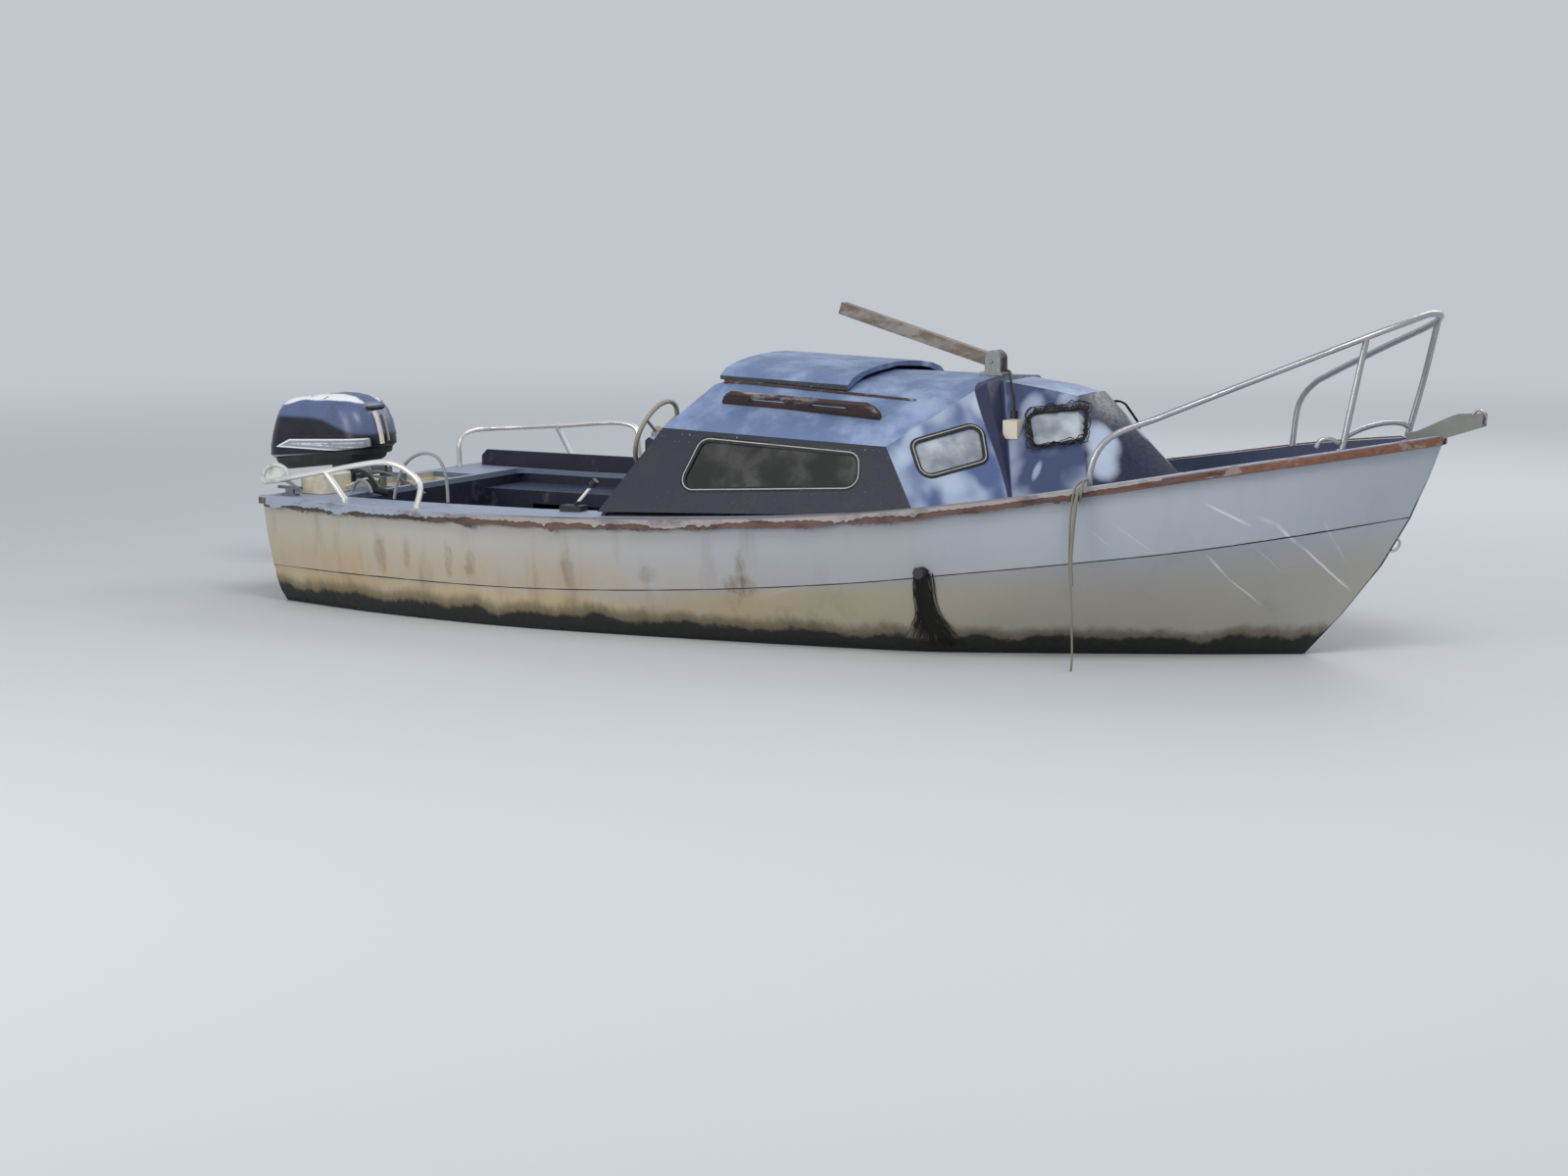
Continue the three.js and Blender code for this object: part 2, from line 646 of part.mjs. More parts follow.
// A tube with flat feet, each foot a disc standing on what is below it
function railing(runs, feet, below) {
  const tubes = runs.map((run) => tube(run, TUBE, 8, Math.max(6, run.length * 5)));
  const discs = feet.map(([x, y, z]) => rod([x, y, z - 12], [x, y, z + 6], 19, 12));
  return union([...tubes, ...discs]).subtract(below);
}

const gunwale = (x, side) => [x, side * (sheerAt(x).y - HULL_WALL / 2 - 4), sheerAt(x).z];

// Rails. Each run is a line of points; feet stand on the gunwale.
function makePulpit(below) {
  const feet = [gunwale(1476, -1), gunwale(2298, -1), gunwale(1786, 1), gunwale(2394, 1)];
  const hoop = [
    feet[0], [1483, -775, 761], [1509, -765, 835], [1555, -740, 889], [1700, -652, 955], [1913, -520, 1052],
    [2377, -270, 1257], [2500, -160, 1312], [2545, -40, 1335], [2555, 60, 1325], [2500, 150, 1290],
    [2250, 330, 1180], [1960, 560, 1050], [1884, 610, 1010], [1815, 640, 931], feet[2],
  ];
  const legStarboard = [feet[1], [2335, -290, 1040], [2372, -272, 1252]];
  const legPort = [feet[3], [2460, 190, 1080], [2528, 118, 1304]];
  return railing([hoop, legStarboard, legPort], feet, below);
}

function makeSternRail(side, below) {
  const starboard = {
    feet: [gunwale(-1478, side), [-2318, -640, 470]],
    top: [[-1511, -862, 563], [-1580, -862, 620], [-1676, -862, 646], [-2028, -862, 587], [-2245, -850, 545],
      [-2308, -800, 533], [-2320, -720, 526]],
    brace: [[-2002, -862, 590], [-1874, -895, 478]],
  };
  const port = {
    feet: [gunwale(-1478, side), [-2318, 590, 470]],
    top: [[-1484, 870, 560], [-1500, 868, 660], [-1560, 866, 684], [-1939, 866, 658], [-2190, 858, 640],
      [-2292, 800, 634], [-2318, 680, 630], [-2320, 600, 600]],
    brace: [[-1945, 866, 656], [-1857, 895, 478]],
  };
  const { feet, top, brace } = side < 0 ? starboard : port;
  return railing([[feet[0], ...top, feet[1]], brace], [...feet, brace[1]], below);
}

// The strip along the gunwale: its section, as distances out and up from the sheer
const RUB_SECTION = [[1, 6], [22, 3], [26, -8], [24, -30], [3, -34]];
function makeRubRail() {
  const rings = stationTimes().map((t) => {
    const { x, y, z } = along('sheer', t);
    return RUB_SECTION.map(([out, up]) => [x, y + out, z + up]);
  });
  return loft(rings);
}

// Outboard motor, on a board bolted to the transom
function makePad() {
  const face = (z, thick) => [transomX(z) - GAP - thick, z];
  const outline = [face(PAD.low, 0), face(PAD.high, 0), face(PAD.high, PAD.thick), face(PAD.low, PAD.thick)];
  return sidePlate(outline, -PAD.half, PAD.half);
}

function makeMotorClamp(below) {
  const aft = TRANSOM.x - 55;
  const pad = transomX(TRANSOM.z) - PAD.thick - 2 * GAP;
  const top = TRANSOM.z + GAP;
  const cheek = [
    [transomX(300) - PAD.thick - 2 * GAP, 300], [pad, top], [WELL.aft + GAP, top], [WELL.aft + GAP, 400],
    [WELL.aft + 12, 400], [WELL.aft + 12, 486], [aft + 49, 486], [aft + 47, 514], [aft + 37, 524],
    [aft + 11, 524], [aft, 514], [aft, 300],
  ];
  const pieces = [];
  for (const side of [-1, 1]) {
    const [y0, y1] = side < 0 ? [-95, -60] : [60, 95];
    pieces.push(sidePlate(cheek, y0, y1));
    const y = side * 77;
    pieces.push(rod([WELL.aft + 4, y, 432], [WELL.aft + 52, y, 432], 9, 10));
    pieces.push(rod([WELL.aft + 46, y - 32, 432], [WELL.aft + 46, y + 32, 432], 5, 8));
  }
  pieces.push(rod([PIVOT.x, -104, PIVOT.z], [PIVOT.x, 104, PIVOT.z], 11, 12));
  return union(pieces).subtract(below);
}

function makeSwivel() {
  const post = prism(roundedRectangle(60, 56, 20), 267, [STEER_X, 0, 255], X_AXIS, Y_AXIS);
  const head = box([STEER_X - 20, -45, 486], [STEER_X + 88, 45, 522]);
  const bore = rod([PIVOT.x, -60, PIVOT.z], [PIVOT.x, 60, PIVOT.z], 11.6, 12);
  return post.add(head).subtract(bore);
}

// A rounded upright shell: rows of height, aft x, fore x, half width, corner
function shell(rows, corner) {
  return loft(rows.map(([height, aft, fore, half]) => {
    const radius = Math.min(corner, half * 0.95, (fore - aft) * 0.45);
    return roundedRectangle(fore - aft, 2 * half, radius, 5)
      .map(([x, y]) => [(aft + fore) / 2 + x, y, height]);
  }), 'z');
}

// Level sections of the motor's covers, before they are tilted: height, aft x, fore x, half width
const COWL_ROWS = [
  [583, -2896, -2322, 150], [596, -2906, -2312, 163], [640, -2896, -2313, 167], [700, -2876, -2322, 166],
  [752, -2856, -2338, 161], [794, -2838, -2364, 152], [822, -2820, -2404, 138], [840, -2800, -2460, 118],
  [850, -2770, -2530, 88],
];
const PAN_ROWS = [
  [524, -2846, -2382, 118], [534, -2864, -2354, 134], [560, -2880, -2338, 146], [582, -2886, -2332, 149],
];
const LEG_ROWS = [
  [-215, -2587, -2423, 20], [-115, -2585, -2465, 27], [0, -2585, -2491, 32], [300, -2587, -2493, 38],
  [500, -2600, -2491, 46], [560, -2605, -2493, 52],
];

const makeCowl = () => pitched(shell(COWL_ROWS, 110), COWL, COWL.tilt);

function makePan() {
  const overClamp = box([STEER_X + 38, -200, 400], [-1900, 200, 582]);
  const overSwivel = box([STEER_X - 110, -60, 400], [STEER_X + 40, 60, 545]);
  return pitched(shell(PAN_ROWS, 100), COWL, COWL.tilt).subtract(overClamp).subtract(overSwivel);
}

function makeMotorLeg(pan) {
  const body = shell(LEG_ROWS, 28);
  const upper = box([STEER_X - 100, -26, 522 + GAP], [STEER_X + 26, 26, 539]);
  const lower = box([STEER_X - 60, -26, 226], [STEER_X + 24, 26, 255 - GAP]);
  const plate = prism(roundedRectangle(250, 180, 60), 8, [STEER_X - 105, 0, -122], X_AXIS, Y_AXIS);
  const low = PROPELLER.z;
  const shaft = rod([PROPELLER.x + 50 + GAP, 0, low], [STEER_X - 100, 0, low], 15, 12);
  const gearcase = rod([STEER_X - 144, 0, low], [STEER_X, 0, low], 42, 16)
    .add(rod([STEER_X, 0, low], [STEER_X + 68, 0, low], 42, 16, 12));
  const outline = [[-136, -260], [20, -262], [-60, -395], [-132, -402]];
  const fin = sidePlate(outline.map(([x, z]) => [STEER_X + x, z]), -6, 6);
  return union([body, upper, lower, plate, shaft, gearcase, fin]).subtract(moved(pan, 0, 0, -0.6));
}

function makePropeller() {
  const hub = rod([PROPELLER.x - 46, 0, PROPELLER.z], [PROPELLER.x + 50, 0, PROPELLER.z], 32, 18, 36);
  const outline = [[20, -26], [60, -38], [92, -34], [108, -12], [110, 14], [98, 34], [62, 38], [20, 26]];
  const pitch = THREE.MathUtils.degToRad(28);
  const blades = [0, 1, 2].map((index) => {
    const angle = index * Math.PI * 2 / 3;
    const radial = new THREE.Vector3(0, Math.cos(angle), Math.sin(angle));
    const around = new THREE.Vector3(0, -Math.sin(angle), Math.cos(angle));
    const chord = around.multiplyScalar(Math.cos(pitch)).addScaledVector(X_AXIS, Math.sin(pitch));
    return prism(outline, 6, [PROPELLER.x, 0, PROPELLER.z], radial, chord);
  });
  return union([hub, ...blades]);
}

// Cockpit fittings
const RAKE = THREE.MathUtils.degToRad(WHEEL.rake);
const WHEEL_AXIS = new THREE.Vector3(-Math.cos(RAKE), 0, Math.sin(RAKE));
const onWheelAxis = (distance) => vec(WHEEL.centre).addScaledVector(WHEEL_AXIS, distance).toArray();

function makeWheel() {
  const ring = new THREE.TorusGeometry(WHEEL.radius, 11, 8, 32);
  ring.applyQuaternion(new THREE.Quaternion().setFromUnitVectors(Z_AXIS, WHEEL_AXIS));
  ring.translate(...WHEEL.centre);
  const hub = rod(onWheelAxis(-26), onWheelAxis(6), 34, 16);
  const across = [Y_AXIS, new THREE.Vector3().crossVectors(WHEEL_AXIS, Y_AXIS)];
  const spokes = [0, 1, 2].map((index) => {
    const angle = Math.PI / 2 + index * Math.PI * 2 / 3;
    const out = across[0].clone().multiplyScalar(Math.cos(angle)).addScaledVector(across[1], Math.sin(angle));
    const end = vec(WHEEL.centre).addScaledVector(out, WHEEL.radius);
    return rod(onWheelAxis(-10), end.toArray(), 7, 8);
  });
  return union([solid(ring), hub, ...spokes]);
}

function makeConsole() {
  const body = sidePlate([[-1000, -14.5], [-845, -14.5], [-845, 640], [-980, 706], [-1000, 690]], 120, 480);
  const boss = rod(onWheelAxis(-90), onWheelAxis(-26 - GAP), 24, 14);
  return body.add(boss);
}

function makeLever(below) {
  const base = box([-872, -775, 440], [-772, -715, 500]);
  const arm = rod([-822, -745, 490], [-722, -745, 596], 7, 8);
  const knob = rod([-734, -745, 584], [-712, -745, 608], 15, 10);
  return union([base, arm, knob]).subtract(below);
}

const TANK = { x: -2200, y: -600, long: 140, wide: 210, low: 450, top: 554, cap: 26 };
function makeTank(below) {
  const { x, y, long, wide, low, top, cap } = TANK;
  const body = prism(roundedRectangle(long, wide, 28), top - low, [x, y, low], X_AXIS, Y_AXIS);
  return body.add(rod([x, y, top - 14], [x, y, top + 16], cap, 14)).subtract(below);
}

function makeCleat(x, y, z, below) {
  const piece = (half, height, width, thick) => bar([x - half, y, z + height], [x + half, y, z + height],
    width, thick);
  const horn = piece(62, 34, 16, 12);
  const post = piece(20, 12, 18, 44);
  const base = piece(38, 2, 30, 12);
  return union([horn, post, base]).subtract(below);
}

// Mast step and the stub of the mast lying aft over the roof
function makeTabernacle(below) {
  const base = box([MAST.x - 48, -46, 1000], [MAST.x + 56, 46, MAST.z - 44]);
  const arc = Array.from({ length: 9 }, (_, index) => index * Math.PI / 8)
    .map((angle) => [MAST.x + 6 + 34 * Math.cos(angle), MAST.z + 14 + 32 * Math.sin(angle)]);
  const cheek = sidePlate([[MAST.x - 30, 1020], [MAST.x + 42, 1020], ...arc], MAST.half + 5, MAST.half + 12);
  const bolt = rod([MAST.x, -44, MAST.z], [MAST.x, 44, MAST.z], 7, 10);
  return union([base, cheek, mirrored(cheek), bolt]).subtract(below);
}

function makeMast() {
  const angle = THREE.MathUtils.degToRad(MAST.angle);
  const at = (distance) => [MAST.x - distance * Math.cos(angle), 0, MAST.z + distance * Math.sin(angle)];
  const timber = bar(at(-27), at(MAST.length), 2 * MAST.half, 2 * MAST.half);
  return timber.subtract(rod([MAST.x, -60, MAST.z], [MAST.x, 60, MAST.z], 7.6, 10));
}

// Grab rails on the roof's slopes: a board on edge with its ends rounded down and two finger slots
const GRAB_RAIL = { aft: [-197, 588], fore: [520, 607], height: 54, thick: 22, end: 46 };
const FINGER_SLOTS = { low: 14, high: 38, spans: [[0.18, 0.42], [0.57, 0.81]] };
function makeGrabRail(below) {
  const [a, b, c] = [CABIN.aftEdge, CABIN.aftKnee, CABIN.sideKnee].map(vec);
  const out = new THREE.Vector3().crossVectors(b.clone().sub(a), c.clone().sub(a)).normalize();
  if (out.z < 0) out.negate();
  const onSlope = ([x, y]) => new THREE.Vector3(x, y, a.z - (out.x * (x - a.x) + out.y * (y - a.y)) / out.z);
  const start = onSlope(GRAB_RAIL.aft);
  const right = onSlope(GRAB_RAIL.fore).sub(start);
  const length = right.length();
  right.normalize();
  const { height, thick, end } = GRAB_RAIL;
  const outline = [[0, -14], [length, -14], [length, 12], [length - end * 0.35, height * 0.7],
    [length - end, height], [end, height], [end * 0.35, height * 0.7], [0, 12]];
  const across = new THREE.Vector3().crossVectors(right, out);
  let board = prism(outline, thick, start.clone().addScaledVector(across, -thick / 2).toArray(), right, out);
  for (const [from, to] of FINGER_SLOTS.spans) {
    const middle = (from + to) / 2 * length;
    const slot = roundedRectangle((to - from) * length, FINGER_SLOTS.high - FINGER_SLOTS.low, 11)
      .map(([x, z]) => [middle + x, (FINGER_SLOTS.high + FINGER_SLOTS.low) / 2 + z]);
    board = board.subtract(prism(slot, 80, start.clone().addScaledVector(across, -40).toArray(), right, out));
  }
  return board.subtract(below);
}

// The rail that the hatch slides beside, falling towards its front end
function makeRunner(below) {
  const outline = [[-262, 960], [606, 920], [606, 972], [-262, 1024]];
  return sidePlate(outline, HATCH.half + 0.5, HATCH.half + 15.5).subtract(below);
}

// Bow fittings
function makeBowRoller(below) {
  const outline = [[2462, 840], [2606, 868], [2750, 916], [2750, 923], [2600, 905], [2462, 884]];
  const floor = sidePlate(outline, -32, 32);
  const cheek = sidePlate([[2490, 886], [2600, 900], [2750, 918], [2752, 966], [2640, 958]], 27, 32);
  const roller = rod([2722, -28, 944], [2722, 28, 944], 16, 14);
  return union([floor, cheek, mirrored(cheek), roller]).subtract(below);
}

function makeTowingEye(below) {
  const bend = [[2396, 0, 486], [2424, 0, 480], [2440, 0, 458], [2424, 0, 430], [2384, 0, 424]];
  return tube(bend, 5, 8, 20).subtract(below);
}

// The low board that stands along the port side of the cockpit
function makeCoaming(below) {
  const outline = [[COAMING.aft, 440], [aftFaceX(440) - 3, 440], [aftFaceX(COAMING.top) - 3, COAMING.top],
    [COAMING.aft + 30, COAMING.top], [COAMING.aft, COAMING.top - 30]];
  return sidePlate(outline, COAMING.inner, COAMING.inner + COAMING.thick).subtract(below);
}

// The line hanging over the starboard gunwale from the pulpit's aft foot
const ROPE = [[1478, -784, 724], [1468, -806, 722], [1452, -832, 706], [1442, -846, 653], [1432, -846, 468],
  [1445, -842, 173], [1432, -815, 0], [1398, -805, -110]];

// A lead from the mast foot down to the socket on the trunk's side
const MAST_CABLE = [[802, -40, 1066], [838, -78, 1066], [866, -138, 1056], [905, -200, 1012],
  [940, -258, 968], [946, -270, 945], [946, -270, 926.8]];

function makeSocket(below) {
  const plug = rod([946, -270, 880], [946, -270, 926], 14, 12);
  return box([930, -345, 820], [992, -262, 892]).add(plug).subtract(below);
}

// The water outlet through the starboard topside
function makeSkinFitting(below) {
  return rod([848, -850, 348], [848, -935, 348], 22, 14).subtract(below);
}

const LOOKS = {
  hull: material(0xa9adb0, 0.55),
  deck: material(0x9aa3b4, 0.6),
  navy: material(0x3c4a78, 0.5),
  liner: material(0x2b3350, 0.6),
  glass: material(0x59605a, 0.2),
  steel: material(0xb9bcbe, 0.3, 0.9),
  wood: material(0x6e4a35, 0.7),
  rubber: material(0x8b8d8c, 0.7),
  motor: material(0x1c2130, 0.35),
  alloy: material(0x8f9498, 0.5, 0.5),
  black: material(0x17181a, 0.6),
  cream: material(0xd8cfae, 0.5),
  rope: material(0x8d8a72, 0.9),
};

const part = new THREE.Group();
const add = (name, shape, look) => part.add(meshOf(name, shape, look.clone()));

const hull = makeHull();
const roof = roofBody(0);
const rubRail = makeRubRail();
const raisedRail = moved(rubRail, 0, 0, GAP).add(rubRail);
const aboveHull = union([belowSheer(GAP), raisedRail, mirrored(raisedRail)]);
const aboveDeck = belowDeck(GAP);
const aboveRoof = moved(roof, 0, 0, GAP);

add('hull', hull, LOOKS.hull);
add('keel_skeg', makeSkeg(), LOOKS.hull);
add('deck_moulding', makeDeck(), LOOKS.deck);
add('cockpit_liner', makeCockpitLiner(), LOOKS.liner);
add('motor_well', makeMotorWell(), LOOKS.cream);
add('cabin_liner', makeCabinLiner(), LOOKS.liner);
const holes = Object.values(WINDOWS).map((row) => windowPrism(row.corners, row.radius, 0));
add('coachroof', makeCoachroof(roof, holes), LOOKS.navy);
add('aft_bulkhead', makeBulkhead(), LOOKS.navy);
const door = makeDoor();
add('companion_door_port', door, LOOKS.navy);
add('companion_door_starboard', mirrored(door), LOOKS.navy);
add('roof_hatch', makeHatch(roof), LOOKS.navy);
const runner = makeRunner(aboveRoof);
add('hatch_runner_port', runner, LOOKS.wood);
add('hatch_runner_starboard', mirrored(runner), LOOKS.wood);
for (const [name, row] of Object.entries(WINDOWS)) {
  const pane = makePane(row);
  add(`window_${name}_port`, pane, LOOKS.glass);
  add(`window_${name}_starboard`, mirrored(pane), LOOKS.glass);
}
const grabRail = makeGrabRail(aboveRoof);
add('grab_rail_port', grabRail, LOOKS.wood);
add('grab_rail_starboard', mirrored(grabRail), LOOKS.wood);
add('tabernacle', makeTabernacle(aboveRoof), LOOKS.steel);
add('mast_stub', makeMast(), LOOKS.wood);
add('pulpit', makePulpit(aboveHull), LOOKS.steel);
add('stern_rail_port', makeSternRail(1, aboveHull.add(aboveDeck)), LOOKS.steel);
add('stern_rail_starboard', makeSternRail(-1, aboveHull.add(aboveDeck)), LOOKS.steel);
add('rub_rail_port', rubRail, LOOKS.rubber);
add('rub_rail_starboard', mirrored(rubRail), LOOKS.rubber);
add('bow_roller', makeBowRoller(aboveHull), LOOKS.steel);
add('towing_eye', makeTowingEye(moved(hull, GAP, 0, 0)), LOOKS.steel);
const quarterCleat = makeCleat(-2250, -790, 470, aboveHull.add(aboveDeck));
add('quarter_cleat_starboard', quarterCleat, LOOKS.alloy);
add('quarter_cleat_port', mirrored(quarterCleat), LOOKS.alloy);
add('bow_cleat', makeCleat(1960, -260, deckZ(1960), aboveDeck), LOOKS.alloy);
add('transom_pad', makePad(), LOOKS.wood);
add('motor_clamp', makeMotorClamp(moved(hull, -GAP, 0, GAP)), LOOKS.alloy);
add('motor_swivel', makeSwivel(), LOOKS.alloy);
const pan = makePan();
add('motor_cowl', makeCowl(), LOOKS.motor);
add('motor_pan', pan, LOOKS.black);
add('motor_leg', makeMotorLeg(pan), LOOKS.alloy);
add('propeller', makePropeller(), LOOKS.alloy);
add('steering_wheel', makeWheel(), LOOKS.black);
add('helm_console', makeConsole(), LOOKS.navy);
add('coaming_port', makeCoaming(aboveHull.add(aboveDeck)), LOOKS.navy);
add('shift_lever', makeLever(aboveHull.add(aboveDeck)), LOOKS.cream);
add('fuel_tank', makeTank(aboveHull.add(aboveDeck)), LOOKS.cream);
add('skin_fitting', makeSkinFitting(moved(hull, 0, -GAP, 0)), LOOKS.black);
add('hanging_rope', tube(ROPE, 4, 8, 48), LOOKS.rope);
add('deck_socket', makeSocket(moved(roof, 0, -GAP, GAP)), LOOKS.cream);
add('mast_cable', tube(MAST_CABLE, 5, 8, 24), LOOKS.black);

export default part;
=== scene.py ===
# %% [markdown]
# # A small cabin cruiser, dressed for a studio picture
# The boat was modelled first as plain solids in metres: +X to the bow, +Y to port, +Z up, with the
# waterline at z = 0. This lesson loads those solids, gives each one a finish, and adds the small
# things that a boat collects: window beads, tape, lashings, stains and weed.
# The finishes read Object coordinates. Every piece keeps its place in its mesh and its object at
# the origin, so a pattern can be placed in boat metres, such as a fouling band just above z = 0.

# %% Load the frame
import json
import math
import random

import bmesh
import bpy
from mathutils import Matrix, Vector
from mathutils.bvhtree import BVHTree


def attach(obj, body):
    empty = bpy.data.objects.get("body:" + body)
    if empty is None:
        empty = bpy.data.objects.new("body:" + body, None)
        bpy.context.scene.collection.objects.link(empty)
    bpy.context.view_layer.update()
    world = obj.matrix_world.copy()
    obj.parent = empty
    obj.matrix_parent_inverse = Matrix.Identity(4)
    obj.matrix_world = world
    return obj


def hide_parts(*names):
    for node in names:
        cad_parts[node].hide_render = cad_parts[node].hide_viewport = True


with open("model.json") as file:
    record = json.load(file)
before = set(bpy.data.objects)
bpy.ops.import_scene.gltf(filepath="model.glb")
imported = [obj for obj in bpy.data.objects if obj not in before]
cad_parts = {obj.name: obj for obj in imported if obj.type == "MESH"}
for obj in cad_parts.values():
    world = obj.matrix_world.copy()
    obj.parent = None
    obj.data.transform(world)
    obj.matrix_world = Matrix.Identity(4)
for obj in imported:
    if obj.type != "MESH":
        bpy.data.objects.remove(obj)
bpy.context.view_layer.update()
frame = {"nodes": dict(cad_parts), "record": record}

# %% [markdown]
# ## The camera
# The photograph was taken from a bank opposite, a little above the boat and forward of its beam.
# Its height and direction were worked out from sight lines: the quay's cap, the waterline and the
# hull's own length. The lens then follows from the picture's width.

# %% Camera
CAMERA_PLACE = (5.668, -10.879, 1.88)
CAMERA_TURN = 28.5
CAMERA_DIP = 8.18

camera_data = bpy.data.cameras.new("camera")
camera_data.lens = 67.2
camera_data.sensor_width = 36.0
camera = bpy.data.objects.new("camera", camera_data)
camera.location = CAMERA_PLACE
camera.rotation_euler = (math.radians(90.0 - CAMERA_DIP), 0.0, math.radians(CAMERA_TURN))
bpy.context.collection.objects.link(camera)
bpy.context.scene.camera = camera
print("camera at", CAMERA_PLACE, "lens", camera_data.lens)

# %% [markdown]
# ## The stage
# A pale floor lies at the waterline, so the hull stands in it as it floats. It could end in a hard
# horizon, so its far part glows in the backdrop's own colour instead, and the edge can't be seen.
# Large, soft lights give even daylight: a bright sky, and a key light from ahead and above.

# %% Floor and lights
def look_up_colour(red, green, blue):
    """A colour given in screen values from 0 to 255, as Blender's linear values."""
    values = []
    for channel in (red, green, blue):
        share = channel / 255.0
        values.append(share / 12.92 if share <= 0.04045 else ((share + 0.055) / 1.055) ** 2.4)
    return (*values, 1.0)


def link(obj):
    bpy.context.collection.objects.link(obj)
    return obj


SKY_COLOUR = (214, 219, 226)
SKY_STRENGTH = 0.8
FLOOR_HALF = 300.0
FLOOR_FADE = (4.0, 16.0)

floor_mesh = bpy.data.meshes.new("floor")
floor_corners = [(x * FLOOR_HALF, y * FLOOR_HALF, 0.0) for x, y in ((-1, -1), (1, -1), (1, 1), (-1, 1))]
floor_mesh.from_pydata(floor_corners, [], [(0, 1, 2, 3)])
floor = link(bpy.data.objects.new("floor", floor_mesh))
floor_paint = bpy.data.materials.new("floor_paint")
floor_paint.use_nodes = True
floor_nodes = floor_paint.node_tree.nodes
floor_links = floor_paint.node_tree.links
floor_shader = floor_nodes["Principled BSDF"]
floor_shader.inputs["Base Color"].default_value = look_up_colour(196, 198, 201)
floor_shader.inputs["Roughness"].default_value = 0.8
glow = floor_nodes.new("ShaderNodeEmission")
glow.inputs["Color"].default_value = look_up_colour(*SKY_COLOUR)
glow.inputs["Strength"].default_value = SKY_STRENGTH
floor_place = floor_nodes.new("ShaderNodeTexCoord").outputs["Object"]
far = floor_nodes.new("ShaderNodeVectorMath")
far.operation = "LENGTH"
floor_links.new(floor_place, far.inputs[0])
fade = floor_nodes.new("ShaderNodeMapRange")
fade.interpolation_type = "SMOOTHSTEP"
fade.inputs["From Min"].default_value = FLOOR_FADE[0]
fade.inputs["From Max"].default_value = FLOOR_FADE[1]
floor_links.new(far.outputs["Value"], fade.inputs["Value"])
melt = floor_nodes.new("ShaderNodeMixShader")
floor_links.new(fade.outputs["Result"], melt.inputs["Fac"])
floor_links.new(floor_shader.outputs[0], melt.inputs[1])
floor_links.new(glow.outputs[0], melt.inputs[2])
floor_links.new(melt.outputs[0], floor_nodes["Material Output"].inputs["Surface"])
floor_mesh.materials.append(floor_paint)

LIGHTS = [
    # name, place, aimed at, size, power
    ("key", (5.0, -5.5, 8.5), (0.0, 0.0, 0.5), 4.0, 380.0),
    ("side", (-3.0, -9.0, 3.2), (0.0, 0.0, 0.3), 5.0, 330.0),
    ("behind", (1.0, 8.0, 6.0), (0.0, 0.0, 0.5), 6.0, 260.0),
]
for name, place, aim, size, power in LIGHTS:
    lamp = bpy.data.lights.new(name, "AREA")
    lamp.shape = "DISK"
    lamp.size = size
    lamp.energy = power
    lamp_object = link(bpy.data.objects.new(name, lamp))
    lamp_object.location = place
    direction = Vector(aim) - Vector(place)
    lamp_object.rotation_euler = direction.to_track_quat("-Z", "Y").to_euler()

world = bpy.data.worlds.new("sky")
bpy.context.scene.world = world
world.use_nodes = True
world.node_tree.nodes["Background"].inputs["Color"].default_value = look_up_colour(*SKY_COLOUR)
world.node_tree.nodes["Background"].inputs["Strength"].default_value = SKY_STRENGTH
bpy.context.scene.view_settings.view_transform = "Standard"
print("lights:", len(LIGHTS))

# %% [markdown]
# ## A small kit for materials
# Each finish is a Principled shader fed by a few masks. A mask is a number from 0 to 1 over the
# surface, made of noise or of a place on the boat, and a mix node lays one colour over another by
# it. Keeping these steps as short helpers lets every finish read like a recipe.

# %% Material helpers
class Mask:
    """A number over a surface. Arithmetic on it adds Math nodes to its finish."""

    def __init__(self, finish, socket):
        self.finish = finish
        self.socket = socket

    def __add__(self, other):
        return self.finish.math("ADD", self, other)

    def __radd__(self, other):
        return self.finish.math("ADD", other, self)

    def __sub__(self, other):
        return self.finish.math("SUBTRACT", self, other)

    def __rsub__(self, other):
        return self.finish.math("SUBTRACT", other, self)

    def __mul__(self, other):
        return self.finish.math("MULTIPLY", self, other)

    def __truediv__(self, other):
        return self.finish.math("DIVIDE", self, other)

    def __abs__(self):
        return self.finish.math("ABSOLUTE", self)

    def ramp(self, start, end, low=0.0, high=1.0):
        """From start to end this becomes low to high, smoothly, and it stays inside."""
        node = self.finish.nodes.new("ShaderNodeMapRange")
        node.interpolation_type = "SMOOTHSTEP"
        numbers = {"From Min": start, "From Max": end, "To Min": low, "To Max": high}
        for name, number in numbers.items():
            node.inputs[name].default_value = number
        self.finish.links.new(self.socket, node.inputs["Value"])
        return Mask(self.finish, node.outputs["Result"])


